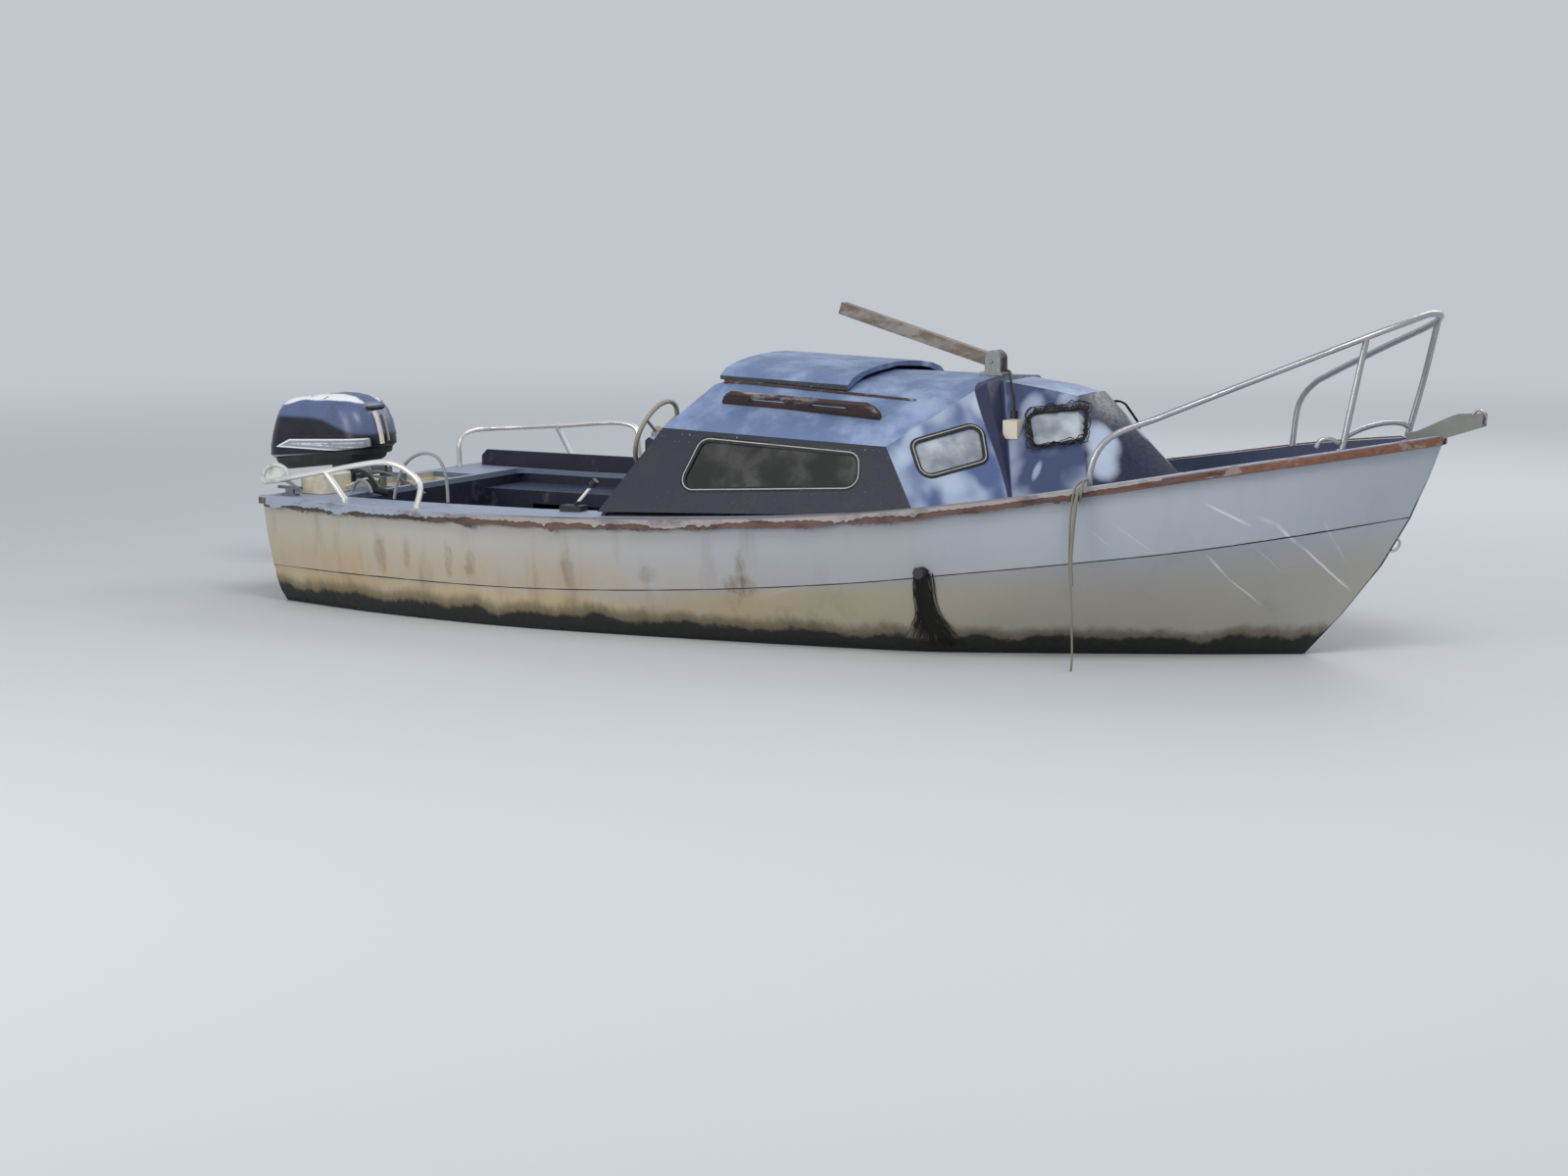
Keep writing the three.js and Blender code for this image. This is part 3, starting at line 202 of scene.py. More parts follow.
class Finish:
    """A Principled material with helpers that add and join nodes."""

    def __init__(self, name, colour, roughness, metallic=0.0):
        self.material = bpy.data.materials.new(name)
        self.material.use_nodes = True
        self.nodes = self.material.node_tree.nodes
        self.links = self.material.node_tree.links
        self.shader = self.nodes["Principled BSDF"]
        self.shader.inputs["Base Color"].default_value = look_up_colour(*colour)
        self.shader.inputs["Roughness"].default_value = roughness
        self.shader.inputs["Metallic"].default_value = metallic
        self.place = self.nodes.new("ShaderNodeTexCoord").outputs["Object"]
        split = self.nodes.new("ShaderNodeSeparateXYZ")
        self.links.new(self.place, split.inputs[0])
        self.x, self.y, self.z = (Mask(self, output) for output in split.outputs)
        self.skin = colour

    def join(self, source, socket):
        """Links a mask or an output, or sets a plain value."""
        if isinstance(source, Mask):
            source = source.socket
        if isinstance(source, bpy.types.NodeSocket):
            self.links.new(source, socket)
        else:
            socket.default_value = source

    def math(self, operation, first, second=0.0):
        node = self.nodes.new("ShaderNodeMath")
        node.operation = operation
        self.join(first, node.inputs[0])
        self.join(second, node.inputs[1])
        return Mask(self, node.outputs[0])

    def stretch(self, *scale):
        """The place, scaled along x, y and z, for streaks and grain."""
        node = self.nodes.new("ShaderNodeMapping")
        node.inputs["Scale"].default_value = scale
        self.links.new(self.place, node.inputs["Vector"])
        return node.outputs[0]

    def noise(self, scale, detail, rough=0.55, where=None):
        node = self.nodes.new("ShaderNodeTexNoise")
        node.inputs["Scale"].default_value = scale
        node.inputs["Detail"].default_value = detail
        node.inputs["Roughness"].default_value = rough
        self.links.new(where or self.place, node.inputs["Vector"])
        return Mask(self, node.outputs["Fac"])

    def facing(self):
        """The surface's direction as three numbers."""
        split = self.nodes.new("ShaderNodeSeparateXYZ")
        self.links.new(self.nodes.new("ShaderNodeNewGeometry").outputs["Normal"], split.inputs[0])
        return [Mask(self, output) for output in split.outputs]

    def beside_cabin(self):
        """1 beside the cabin, where the gunwale has weathered to a warm grey."""
        return self.x.ramp(-1.3, -0.8) * self.x.ramp(1.5, 1.1)

    def spot(self, centre, reach, ragged):
        """A soft patch around a place, 1 in its middle; reach is its half-size along x, y and z."""
        parts = []
        for axis, middle, half in zip((self.x, self.y, self.z), centre, reach):
            away = (axis - middle) / half
            parts.append(away * away)
        total = parts[0] + parts[1] + parts[2]
        total = total + (self.noise(14.0, 6.0, 0.65) - 0.5) * ragged
        return total.ramp(1.0, 0.1)

    def blend(self, mask, under, over):
        """over laid on under where the mask is 1. Each is a colour triple or an output."""
        node = self.nodes.new("ShaderNodeMix")
        node.data_type = "RGBA"
        self.join(mask, node.inputs["Factor"])
        for value, socket in ((under, node.inputs["A"]), (over, node.inputs["B"])):
            if isinstance(value, tuple):
                socket.default_value = look_up_colour(*value)
            else:
                self.links.new(value, socket)
        return node.outputs["Result"]

    def lay(self, mask, colour):
        """Lays a colour over all that the finish has so far, where the mask is 1."""
        self.skin = self.blend(mask, self.skin, colour)
        self.links.new(self.skin, self.shader.inputs["Base Color"])

    def gloss(self, roughness):
        self.join(roughness, self.shader.inputs["Roughness"])

    def relief(self, height, strength, distance):
        node = self.nodes.new("ShaderNodeBump")
        node.inputs["Strength"].default_value = strength
        node.inputs["Distance"].default_value = distance
        self.join(height, node.inputs["Height"])
        self.links.new(node.outputs["Normal"], self.shader.inputs["Normal"])

# %% [markdown]
# ## Finishes
# The topsides are old gelcoat: grey above, warmer and browner towards the stern and the waterline,
# with soft vertical runs, dark patches and, forward, long thin pale lines. Their paler tone towards the
# bow and the stern is painted light. Below them lies the fouling, a black band whose upper edge wanders
# by a few centimetres.

# %% Topsides
topsides = Finish("topsides", (156, 158, 163), 0.5)
broad = topsides.noise(0.9, 3.0)
runs = topsides.noise(7.0, 5.0, 0.6, topsides.stretch(1.0, 1.0, 0.16))
fine = topsides.noise(38.0, 6.0, 0.7)
aft = topsides.x.ramp(0.4, -2.1)
ahead = topsides.x.ramp(0.6, 2.2)
crease_height = topsides.math("MAXIMUM", 0.172, 0.23 + topsides.x * 0.132)
soft = topsides.x.ramp(0.3, 1.8, 0.05, 0.2)
below_crease = crease_height - topsides.z
low = (below_crease / soft).ramp(-0.2, 1.0)
low = low * topsides.x.ramp(0.2, 1.6, 1.0, 0.62)
# Paler and bluer ahead and paler aft: painted light, with the middle of the side left darker as painted
# shade; aft the tone is also warmer.
topsides.lay(ahead, (168, 174, 183))
topsides.lay(aft * 0.8, (170, 167, 160))
warmth = (aft * 0.4 + low * 0.8) * broad.ramp(0.25, 0.65, 0.7, 1.2)
topsides.lay(topsides.math("MINIMUM", warmth, 1.0), (172, 161, 134))
tan_cloud = topsides.noise(4.0, 6.0, 0.65, topsides.stretch(1.0, 1.0, 0.6))
tan_cloud = tan_cloud.ramp(0.3, 0.65, 0.2, 0.75)
tan_mask = topsides.x.ramp(0.7, -0.9) * topsides.z.ramp(0.4, 0.18)
topsides.lay(tan_mask * tan_cloud, (168, 142, 104))
run_mask = runs.ramp(0.52, 0.74) * topsides.x.ramp(1.2, -1.6, 0.1, 0.5)
topsides.lay(run_mask, (112, 104, 88))
patches = topsides.noise(3.3, 6.0, 0.62, topsides.stretch(1.0, 1.0, 0.7))
patch_mask = patches.ramp(0.58, 0.76) * (low * 0.6)
topsides.lay(patch_mask, (92, 82, 62))

# %% [markdown]
# Stains and pale lines have places of their own, so they come from tables in boat metres. A stain is a
# soft, ragged spot. A pale line is a thin near-white line between two places on the bow.

# %% Stains and scuffs
STAINS = [
    # place, half-size, strength
    ((0.09, -0.95, 0.31), (0.035, 0.3, 0.09), 0.6),
    ((0.08, -0.95, 0.25), (0.09, 0.3, 0.055), 0.6),
    ((-0.33, -0.95, 0.27), (0.05, 0.3, 0.05), 0.4),
    ((-0.7, -0.95, 0.26), (0.045, 0.3, 0.1), 0.45),
    ((-1.19, -0.95, 0.26), (0.035, 0.3, 0.07), 0.45),
    ((-1.3, -0.95, 0.27), (0.03, 0.3, 0.09), 0.5),
    ((-1.52, -0.95, 0.28), (0.03, 0.3, 0.08), 0.45),
    ((-1.66, -0.95, 0.27), (0.04, 0.3, 0.1), 0.5),
]
stain_grain = topsides.noise(38.0, 4.0, 0.6, topsides.stretch(1.0, 1.0, 0.3))
stain_grain = stain_grain.ramp(0.3, 0.65, 0.25, 1.0)
for place, reach, strength in STAINS:
    stain = topsides.spot(place, reach, 2.4) * stain_grain
    topsides.lay(stain * strength, (108, 90, 60))

BOW_PALE_LINES = [
    # one end, the other end, half width, strength: x and z on the bow
    ((1.874, 0.639), (2.015, 0.55), 0.004, 0.55),
    ((2.041, 0.583), (2.094, 0.555), 0.006, 0.5),
    ((2.094, 0.555), (2.152, 0.465), 0.005, 0.55),
    ((2.152, 0.465), (2.263, 0.266), 0.0035, 0.85),
    ((1.861, 0.434), (1.9, 0.337), 0.004, 0.7),
    ((1.9, 0.337), (1.979, 0.219), 0.003, 0.6),
    ((2.237, 0.557), (2.25, 0.488), 0.003, 0.4),
    ((2.25, 0.488), (2.27, 0.391), 0.002, 0.3),
    ((2.015, 0.468), (2.072, 0.361), 0.002, 0.3),
    ((1.473, 0.537), (1.558, 0.462), 0.002, 0.25),
    ((1.56, 0.56), (1.7, 0.44), 0.002, 0.2),
]
for (x0, z0), (x1, z1), half, strength in BOW_PALE_LINES:
    length = math.hypot(x1 - x0, z1 - z0)
    ahead_x, ahead_z = (x1 - x0) / length, (z1 - z0) / length
    from_x = topsides.x - x0
    from_z = topsides.z - z0
    onward = from_x * ahead_x + from_z * ahead_z
    aside = from_x * ahead_z - from_z * ahead_x
    wavering = aside + (fine - 0.5) * 0.006
    inside = onward.ramp(-0.02, 0.05) * onward.ramp(length + 0.02, length - 0.06)
    line = inside * abs(wavering).ramp(half * 1.8, half * 0.5)
    topsides.lay(line * strength, (226, 229, 232))
print("stains:", len(STAINS), "pale_lines:", len(BOW_PALE_LINES))

# %% [markdown]
# The same moulding reaches from the fouling band at the waterline to the gunwale. Inside the
# bulwarks it is painted navy, and the gunwale's top is pale. The surface's direction tells them apart.

# %% Fouling, bulwarks and gunwale
edge = topsides.noise(5.0, 7.0, 0.65, topsides.stretch(1.0, 1.0, 0.4))
tide = topsides.z + (edge - 0.5) * 0.14
topsides.lay(tide.ramp(0.135, 0.085, 0.0, 0.75), (84, 74, 52))
topsides.lay(tide.ramp(0.085, 0.06), (22, 21, 19))
_, turn_y, turn_z = topsides.facing()
inwards = turn_y * topsides.math("SIGN", topsides.y)
inner_mask = inwards.ramp(-0.15, -0.4) * topsides.z.ramp(0.3, 0.34)
topsides.lay(inner_mask, (54, 60, 82))
top_mask = turn_z.ramp(0.75, 0.9) * topsides.z.ramp(0.4, 0.44)
gunwale = topsides.blend(topsides.beside_cabin(), (150, 158, 174), (104, 103, 108))
topsides.lay(top_mask, gunwale)
topsides.gloss(fine.ramp(0.3, 0.7, 0.42, 0.62))
topsides.relief(fine, 0.12, 0.004)
print("topsides made")

# %% [markdown]
# The deck, the liners and the cabin are painted in blues. What faces the sky is paler, partly faded
# and partly painted sky reflection, so the paint reads the surface's own direction: a flat top is pale
# and chalky, an upright side still dark.

# %% Painted mouldings
def faded_and_sky_lit_paint(name, upright, flat):
    finish = Finish(name, upright, 0.5)
    turn_z = finish.facing()[2]
    cloud = finish.noise(2.6, 6.0, 0.62)
    fine = finish.noise(55.0, 5.0, 0.7)
    up = turn_z + (cloud - 0.5) * 0.3
    # Paler where the surface faces up: partly sun-fading, partly painted sky reflection.
    finish.lay(up.ramp(0.25, 0.95), flat)
    dull = finish.noise(9.0, 8.0, 0.7).ramp(0.55, 0.8, 0.0, 0.3)
    finish.lay(dull, (150, 152, 150))
    finish.gloss(fine.ramp(0.3, 0.7, 0.38, 0.6))
    finish.relief(fine, 0.1, 0.003)
    return finish.material


deck_paint = faded_and_sky_lit_paint("deck_paint", (104, 112, 132), (146, 156, 176))
liner_paint = faded_and_sky_lit_paint("liner_paint", (18, 22, 42), (52, 58, 80))
print("deck and liner paints made")

# %% [markdown]
# The cabin's roof is paler than its sides, partly bleached in clouds and partly painted sky reflection.
# Its quarters face forward and carry pale streaks of painted sheen, so they are told apart from the
# dark sides by how far their surface turns to the bow.

# %% Cabin paint
SIDE_NAVY = (22, 26, 44)
ROOF_BLUE = (98, 116, 152)
ROOF_PALE = (148, 165, 196)
QUARTER_BLUE = (74, 92, 134)
# The palest blue is painted sheen and painted highlight on the quarters and the trunk.
SHEEN_PALE = (188, 199, 218)
# The strip's dark blue is painted shade.
STRIP_SHADE = (28, 34, 66)

cabin = Finish("cabin_paint", SIDE_NAVY, 0.5)
turn_x, _, turn_z = cabin.facing()
broad = cabin.noise(2.2, 5.0, 0.6)
cloud = cabin.noise(5.5, 5.0, 0.6, cabin.stretch(1.0, 1.0, 0.55))
fine = cabin.noise(60.0, 5.0, 0.7)
sheen_streak = cabin.noise(8.0, 1.5, 0.5, cabin.stretch(1.0, 1.0, 0.2))
roof = cabin.blend(cloud.ramp(0.4, 0.7, 0.0, 0.85), ROOF_BLUE, ROOF_PALE)
quarter_mask = turn_x.ramp(0.36, 0.48)
# The quarters' pale streaks are painted sheen.
quarter = cabin.blend(sheen_streak.ramp(0.38, 0.68, 0.0, 0.62), QUARTER_BLUE, SHEEN_PALE)
slope_mask = (turn_z + (broad - 0.5) * 0.05).ramp(0.5, 0.56)
# The up-facing roof is laid paler: partly bleaching, partly painted sky reflection.
cabin.lay(slope_mask, roof)
cabin.lay(quarter_mask * turn_z.ramp(0.86, 0.78), quarter)
print("roof, sides and quarters laid")

# %% [markdown]
# Where cabin and trunk meet, a dark strip of painted shade runs from the roof's corner down to the deck.
# Ahead of it the trunk's flanks are dark, with pale bands of painted sheen down them and a broad painted
# highlight on the front edge; the trunk's front is darkened again as painted shade.

# %% Shade strip, sheen bands and grime
STRIP_TOP = (0.845, 1.03)
STRIP_FOOT = (1.062, 0.6)
slant = (STRIP_FOOT[0] - STRIP_TOP[0]) / (STRIP_TOP[1] - STRIP_FOOT[1])
line_x = STRIP_TOP[0] + slant * STRIP_TOP[1] - cabin.z * slant
beside = cabin.x - line_x
strip_wide = cabin.z.ramp(0.6, 1.04, 0.018, 0.066)
strip_in = beside + strip_wide
shade_strip_mask = strip_in.ramp(0.0, 0.005) * beside.ramp(0.006, -0.002)

flank_mask = beside.ramp(0.0, 0.01) * turn_z.ramp(0.93, 0.88)
# Pale streaks on the flanks are painted sheen.
flank = cabin.blend(sheen_streak.ramp(0.44, 0.7, 0.0, 0.42), (52, 64, 98), SHEEN_PALE)
# Where the trunk faces forward it is laid darker: painted shade.
flank = cabin.blend(turn_x.ramp(0.55, 0.7), flank, (26, 32, 58))
cabin.lay(flank_mask, flank)
# Pale bands and the front edge's broad pale patch: painted sheen and a painted highlight.
SHEEN_BANDS = [
    # place, half-size, strength
    ((1.3, -0.22, 0.82), (0.085, 0.13, 0.17), 0.95),
    ((1.34, -0.3, 0.73), (0.07, 0.11, 0.11), 0.9),
    ((1.0, -0.24, 0.95), (0.06, 0.1, 0.1), 0.5),
    ((1.13, -0.17, 0.97), (0.05, 0.08, 0.06), 0.4),
    ((1.116, -0.43, 0.71), (0.018, 0.06, 0.06), 0.5),
    ((0.69, -0.68, 0.8), (0.045, 0.12, 0.2), 0.6),
    ((0.85, -0.64, 0.67), (0.11, 0.12, 0.07), 0.5),
    ((0.84, -0.33, 0.95), (0.05, 0.09, 0.1), 0.55),
]
for place, reach, strength in SHEEN_BANDS:
    for side in (1.0, -1.0):
        spot = cabin.spot((place[0], place[1] * side, place[2]), reach, 0.4)
        cabin.lay(spot * strength, SHEEN_PALE)
# A dark strip of painted shade where cabin and trunk meet.
cabin.lay(shade_strip_mask, STRIP_SHADE)

# Greenish grime and pale specks gather on the sides around the windows
side_mask = turn_z.ramp(0.54, 0.48) * turn_x.ramp(0.2, 0.1)
grime = side_mask * cabin.noise(6.0, 7.0, 0.7).ramp(0.46, 0.66, 0.0, 0.4)
cabin.lay(grime, (40, 43, 40))
speck = cabin.noise(95.0, 2.0, 0.5).ramp(0.7, 0.74) * (side_mask * cabin.z.ramp(0.74, 0.8, 0.12, 0.8))
cabin.lay(speck, (168, 176, 158))
margin = side_mask * cabin.spot((0.4, -0.8, 0.72), (0.22, 0.5, 0.13), 1.4)
cabin.lay(margin * 0.8, (30, 34, 27))
dull_front = turn_x.ramp(0.5, 0.65) * cabin.z.ramp(0.94, 0.78, 0.0, 0.42)
cabin.gloss(fine.ramp(0.3, 0.7, 0.34, 0.58) + dull_front)
cabin.relief(fine, 0.08, 0.002)
cabin_paint = cabin.material

print("cabin paint made, bands:", len(SHEEN_BANDS))

# %% [markdown]
# The rails are polished tube gone dull, with brown tea stains. The motor's castings are painted
# alloy. Both are metal, so their colour is their reflection's, and the dirt sits on top.

# %% Metals
def metal(name, colour, roughness, stain, amount, metallic):
    finish = Finish(name, colour, roughness, metallic)
    cloud = finish.noise(5.0, 3.0, 0.6)
    fine = finish.noise(40.0, 3.0, 0.6)
    finish.lay(cloud.ramp(0.52, 0.75, 0.0, amount), stain)
    finish.gloss(fine.ramp(0.3, 0.7, roughness - 0.03, roughness + 0.06))
    return finish.material


rail_steel = metal("rail_steel", (176, 177, 177), 0.34, (118, 108, 92), 0.3, 0.85)
bright_steel = metal("bright_steel", (222, 221, 216), 0.36, (128, 116, 98), 0.25, 0.6)
plate_steel = metal("plate_steel", (128, 130, 128), 0.5, (86, 80, 70), 0.6, 0.7)
roller_metal = metal("roller_metal", (124, 126, 120), 0.6, (78, 76, 62), 0.7, 0.5)
motor_alloy = metal("motor_alloy", (118, 122, 128), 0.45, (60, 58, 54), 0.7, 0.6)
propeller_alloy = metal("propeller_alloy", (92, 94, 98), 0.4, (44, 44, 40), 0.7, 0.7)
print("metals: 6")

# %% [markdown]
# Wood turns grey where its varnish has gone and stays red-brown where it hasn't. The grain is noise
# stretched along the boat.

# %% Wood
def weathered_wood(name, kept, bare, share):
    finish = Finish(name, kept, 0.6)
    grain = finish.noise(60.0, 5.0, 0.6, finish.stretch(0.12, 1.0, 1.0))
    worn = finish.noise(11.0, 7.0, 0.7, finish.stretch(0.4, 1.0, 1.0))
    finish.lay(grain.ramp(0.35, 0.7, 0.0, 0.45), tuple(int(c * 0.55) for c in kept))
    finish.lay(worn.ramp(share - 0.06, share + 0.08), bare)
    finish.gloss(worn.ramp(0.4, 0.6, 0.5, 0.85))
    finish.relief(grain, 0.35, 0.002)
    return finish.material


rail_wood = weathered_wood("rail_wood", (62, 44, 38), (150, 142, 138), 0.57)
mast_wood = weathered_wood("mast_wood", (104, 88, 74), (138, 132, 126), 0.46)


def rail_wood_under_cap():
    """Red-brown wood on the outer face, bright at the bow; its top is painted a pale blue-grey."""
    finish = Finish("rub_strip", (104, 58, 42), 0.65)
    grain = finish.noise(70.0, 5.0, 0.6, finish.stretch(0.1, 1.0, 1.0))
    worn = finish.noise(9.0, 7.0, 0.7, finish.stretch(0.5, 1.0, 1.0))
    bright = finish.x.ramp(0.7, 1.7)
    finish.skin = (84, 62, 56)
    finish.lay(bright, (126, 84, 64))
    finish.lay(grain.ramp(0.4, 0.7, 0.0, 0.5), (62, 42, 36))
    finish.lay(worn.ramp(0.52, 0.62, 0.0, 0.7), (150, 140, 134))
    turn_z = finish.facing()[2]
    top = finish.blend(finish.beside_cabin(), (148, 156, 172), (116, 112, 114))
    top = finish.blend(worn.ramp(0.52, 0.64, 0.0, 0.8), top, (92, 86, 84))
    finish.lay(turn_z.ramp(0.12, 0.3), top)
    finish.gloss(worn.ramp(0.3, 0.7, 0.5, 0.8))
    finish.relief(grain, 0.3, 0.002)
    return finish.material


rub_strip = rail_wood_under_cap()
print("woods: 3")

# %% [markdown]
# Plastic and rubber have one colour each. Outdoors it dulls and picks up grime in clouds, so a
# second colour is laid over it by noise. Two small pieces change their colour at a height.

# %% Rubber and plastics
def plain_plastic(name, colour, roughness, dirt=(70, 66, 58), amount=0.5):
    finish = Finish(name, colour, roughness)
    cloud = finish.noise(8.0, 7.0, 0.65)
    fine = finish.noise(120.0, 3.0, 0.6)
    finish.lay(cloud.ramp(0.5, 0.78, 0.0, amount), dirt)
    finish.gloss(fine.ramp(0.3, 0.7, roughness - 0.05, roughness + 0.12))
    finish.relief(fine, 0.08, 0.001)
    return finish.material


cream_plastic = plain_plastic("cream_plastic", (214, 205, 178), 0.45)


def two_tone(name, low_colour, high_colour, height, blend=0.002, back_again=9.0):
    """A plastic that changes its colour at a height, and back again at another."""
    finish = Finish(name, low_colour, 0.5)
    cloud = finish.noise(9.0, 6.0, 0.65)
    middle = finish.z.ramp(height - blend, height + blend)
    middle = middle * finish.z.ramp(back_again + blend, back_again - blend)
    finish.lay(middle, high_colour)
    finish.lay(cloud.ramp(0.5, 0.8, 0.0, 0.4), (74, 70, 62))
    finish.gloss(cloud.ramp(0.3, 0.7, 0.42, 0.6))
    return finish.material


socket_plastic = two_tone("socket_plastic", (208, 200, 178), (22, 22, 24), 0.893)
lever_plastic = two_tone("lever_plastic", (24, 25, 28), (224, 224, 218), 0.518, 0.004, 0.574)
black_plastic = plain_plastic("black_plastic", (26, 27, 29), 0.5, (70, 68, 64), 0.4)
black_rubber = plain_plastic("black_rubber", (22, 22, 23), 0.65, (80, 78, 72), 0.4)
light_beige = plain_plastic("light_beige", (158, 150, 136), 0.55, (104, 94, 80), 0.6)
hose_pale = plain_plastic("hose_pale", (214, 206, 200), 0.5, (120, 104, 104), 0.6)
# A dark finish for the painted shadow line along the hull's crease.
seam_shadow = plain_plastic("seam_shadow", (34, 34, 38), 0.7)
pale_bead = plain_plastic("pale_bead", (170, 172, 168), 0.5, (96, 96, 88), 0.7)


def strip_finish(name, aft_colour, fore_colour, dirt):
    """The rub strip's finish changes from the stern to the cabin."""
    finish = Finish(name, aft_colour, 0.65)
    cloud = finish.noise(12.0, 7.0, 0.7, finish.stretch(0.6, 1.0, 1.0))
    finish.lay(finish.x.ramp(-1.6, -1.0), fore_colour)
    finish.lay(cloud.ramp(0.48, 0.66, 0.0, 0.85), dirt)
    finish.gloss(cloud.ramp(0.3, 0.7, 0.55, 0.8))
    return finish.material


torn_strip = strip_finish("torn_strip", (140, 148, 162), (146, 138, 136), (98, 92, 90))
# Aft, the edge showing below the torn strip is dark as painted shadow; forward it is brown wood.
brown_edge_and_shadow = strip_finish("brown_edge_and_shadow", (62, 54, 50), (92, 66, 58), (46, 38, 37))
weed_green = plain_plastic("weed_green", (30, 30, 20), 0.7, (12, 12, 10), 0.8)
lead_grey = plain_plastic("lead_grey", (136, 138, 138), 0.6, (90, 88, 82), 0.6)
fender_white = plain_plastic("fender_white", (190, 194, 186), 0.5, (92, 104, 80), 0.9)
pale_rope = plain_plastic("pale_rope", (124, 122, 108), 0.9, (74, 74, 56), 0.7)
print("materials so far:", len(bpy.data.materials))

# %% [markdown]
# The cowl is dark glossy blue, its shoulder faded by the sun and its top edge scraped to white. A
# grey stripe with a white outline runs along each side, square ahead and pointed aft, over a thin
# silver line. Both are drawn by place: the line leans with the motor, the stripe nearly lies level.

# %% Cowl
COWL_LEAN = 0.087
cowl = Finish("cowl_paint", (22, 26, 46), 0.25)
turn_y = cowl.facing()[1]
cloud = cowl.noise(9.0, 6.0, 0.65)
scuff = cowl.noise(22.0, 7.0, 0.7)
rise = cowl.z - (cowl.x + 2.51) * COWL_LEAN
cowl.skin = (13, 16, 32)
cowl.lay(cloud.ramp(0.5, 0.75, 0.0, 0.4), (36, 40, 60))
fade_foot = cowl.x.ramp(-2.62, -2.33, 0.735, 0.665)
above = cowl.z - fade_foot
cowl.lay(above.ramp(0.0, 0.022) * cloud.ramp(0.3, 0.6, 0.72, 1.0), (86, 98, 134))
ridge = cowl.x.ramp(-2.8, -2.66, 0.822, 0.85) + cowl.x.ramp(-2.46, -2.24, 0.0, -0.055)
below_ridge = cowl.z - ridge
from_middle = abs(cowl.y)
off_centre = from_middle.ramp(0.045, 0.065) * from_middle.ramp(0.15, 0.13)
scrape = (below_ridge + cloud * 0.016).ramp(-0.02, -0.012) * off_centre
cowl.lay(scrape * scuff.ramp(0.36, 0.44), (236, 238, 240))
side_mask = abs(turn_y).ramp(0.35, 0.55)
point = cowl.x - (-2.822 + (cowl.z - 0.603) * 2.1)
margins = [
    0.639 + (cowl.x + 2.82) * 0.045 - cowl.z,
    cowl.z - (0.603 - (cowl.x + 2.82) * 0.013),
    point * 0.43,
    -2.29 - cowl.x,
]
inside = margins[0]
for margin in margins[1:]:
    inside = cowl.math("MINIMUM", inside, margin)
cowl.lay(side_mask * inside.ramp(0.0, 0.001), (232, 234, 236))
cowl.lay(side_mask * inside.ramp(0.006, 0.008), (142, 147, 155))
band = abs(inside - 0.021).ramp(0.004, 0.002) * side_mask
cowl.lay(band * scuff.ramp(0.4, 0.6), (214, 218, 222))
silver = abs(rise - 0.5875).ramp(0.0045, 0.0025)
cowl.lay(silver, (172, 176, 180))
cowl.gloss(scuff.ramp(0.35, 0.65, 0.26, 0.42))
cowl.relief(scuff, 0.06, 0.001)
cowl_paint = cowl.material
print("cowl paint made")

# %% [markdown]
# The panes have clouded over, the side ones dark and the others pale. Clear glass would show the
# cabin, and the picture doesn't, so they stay opaque, with gloss that varies.

# %% Panes
def clouded_pane(name, clear, misted, low, high):
    finish = Finish(name, clear, 0.14)
    mist = finish.noise(6.5, 5.0, 0.55)
    finish.lay(mist.ramp(low, high), misted)
    finish.gloss(mist.ramp(0.3, 0.7, 0.12, 0.38))
    return finish.material


dark_pane = clouded_pane("dark_pane", (34, 35, 33), (88, 86, 78), 0.36, 0.95)
pale_pane = clouded_pane("pale_pane", (118, 124, 132), (186, 192, 200), 0.3, 0.7)
print("materials:", len(bpy.data.materials))

# %% [markdown]
# ## The hanging line and the mast's lead
# A thin line is made fast at the pulpit's foot and hangs over the gunwale into the water. It is
# limp, about 8 mm thick, and hangs straight but for the hull's own bulge. A black lead runs from the
# mast's heel down to a socket on the trunk. Both are tubes along a smooth route through a few
# places, and the length of each route is printed.

# %% Smooth route
LINE_ROUTE = [
    (1.478, -0.784, 0.724), (1.468, -0.806, 0.722), (1.452, -0.832, 0.706), (1.442, -0.846, 0.653),
    (1.432, -0.846, 0.468), (1.445, -0.842, 0.173), (1.432, -0.815, 0.0), (1.398, -0.805, -0.11),
]


def smooth_route(points, steps):
    """Points along a centripetal Catmull-Rom curve through the given points."""
    knots = [Vector(p) for p in points]
    start = knots[0] * 2 - knots[1]
    end = knots[-1] * 2 - knots[-2]
    full = [start, *knots, end]
    count = len(knots) - 1
    result = []
    for step in range(steps + 1):
        at = step / steps * count
        span = min(int(at), count - 1)
        share = at - span
        p0, p1, p2, p3 = full[span:span + 4]
        gaps = [max((b - a).length_squared ** 0.25, 1e-4) for a, b in ((p0, p1), (p1, p2), (p2, p3))]
        m1 = ((p1 - p0) / gaps[0] - (p2 - p0) / (gaps[0] + gaps[1]) + (p2 - p1) / gaps[1]) * gaps[1]
        m2 = ((p2 - p1) / gaps[1] - (p3 - p1) / (gaps[1] + gaps[2]) + (p3 - p2) / gaps[2]) * gaps[1]
        t2, t3 = share * share, share ** 3
        places = p1 * (2 * t3 - 3 * t2 + 1) + p2 * (3 * t2 - 2 * t3)
        result.append(places + m1 * (t3 - 2 * t2 + share) + m2 * (t3 - t2))
    return result

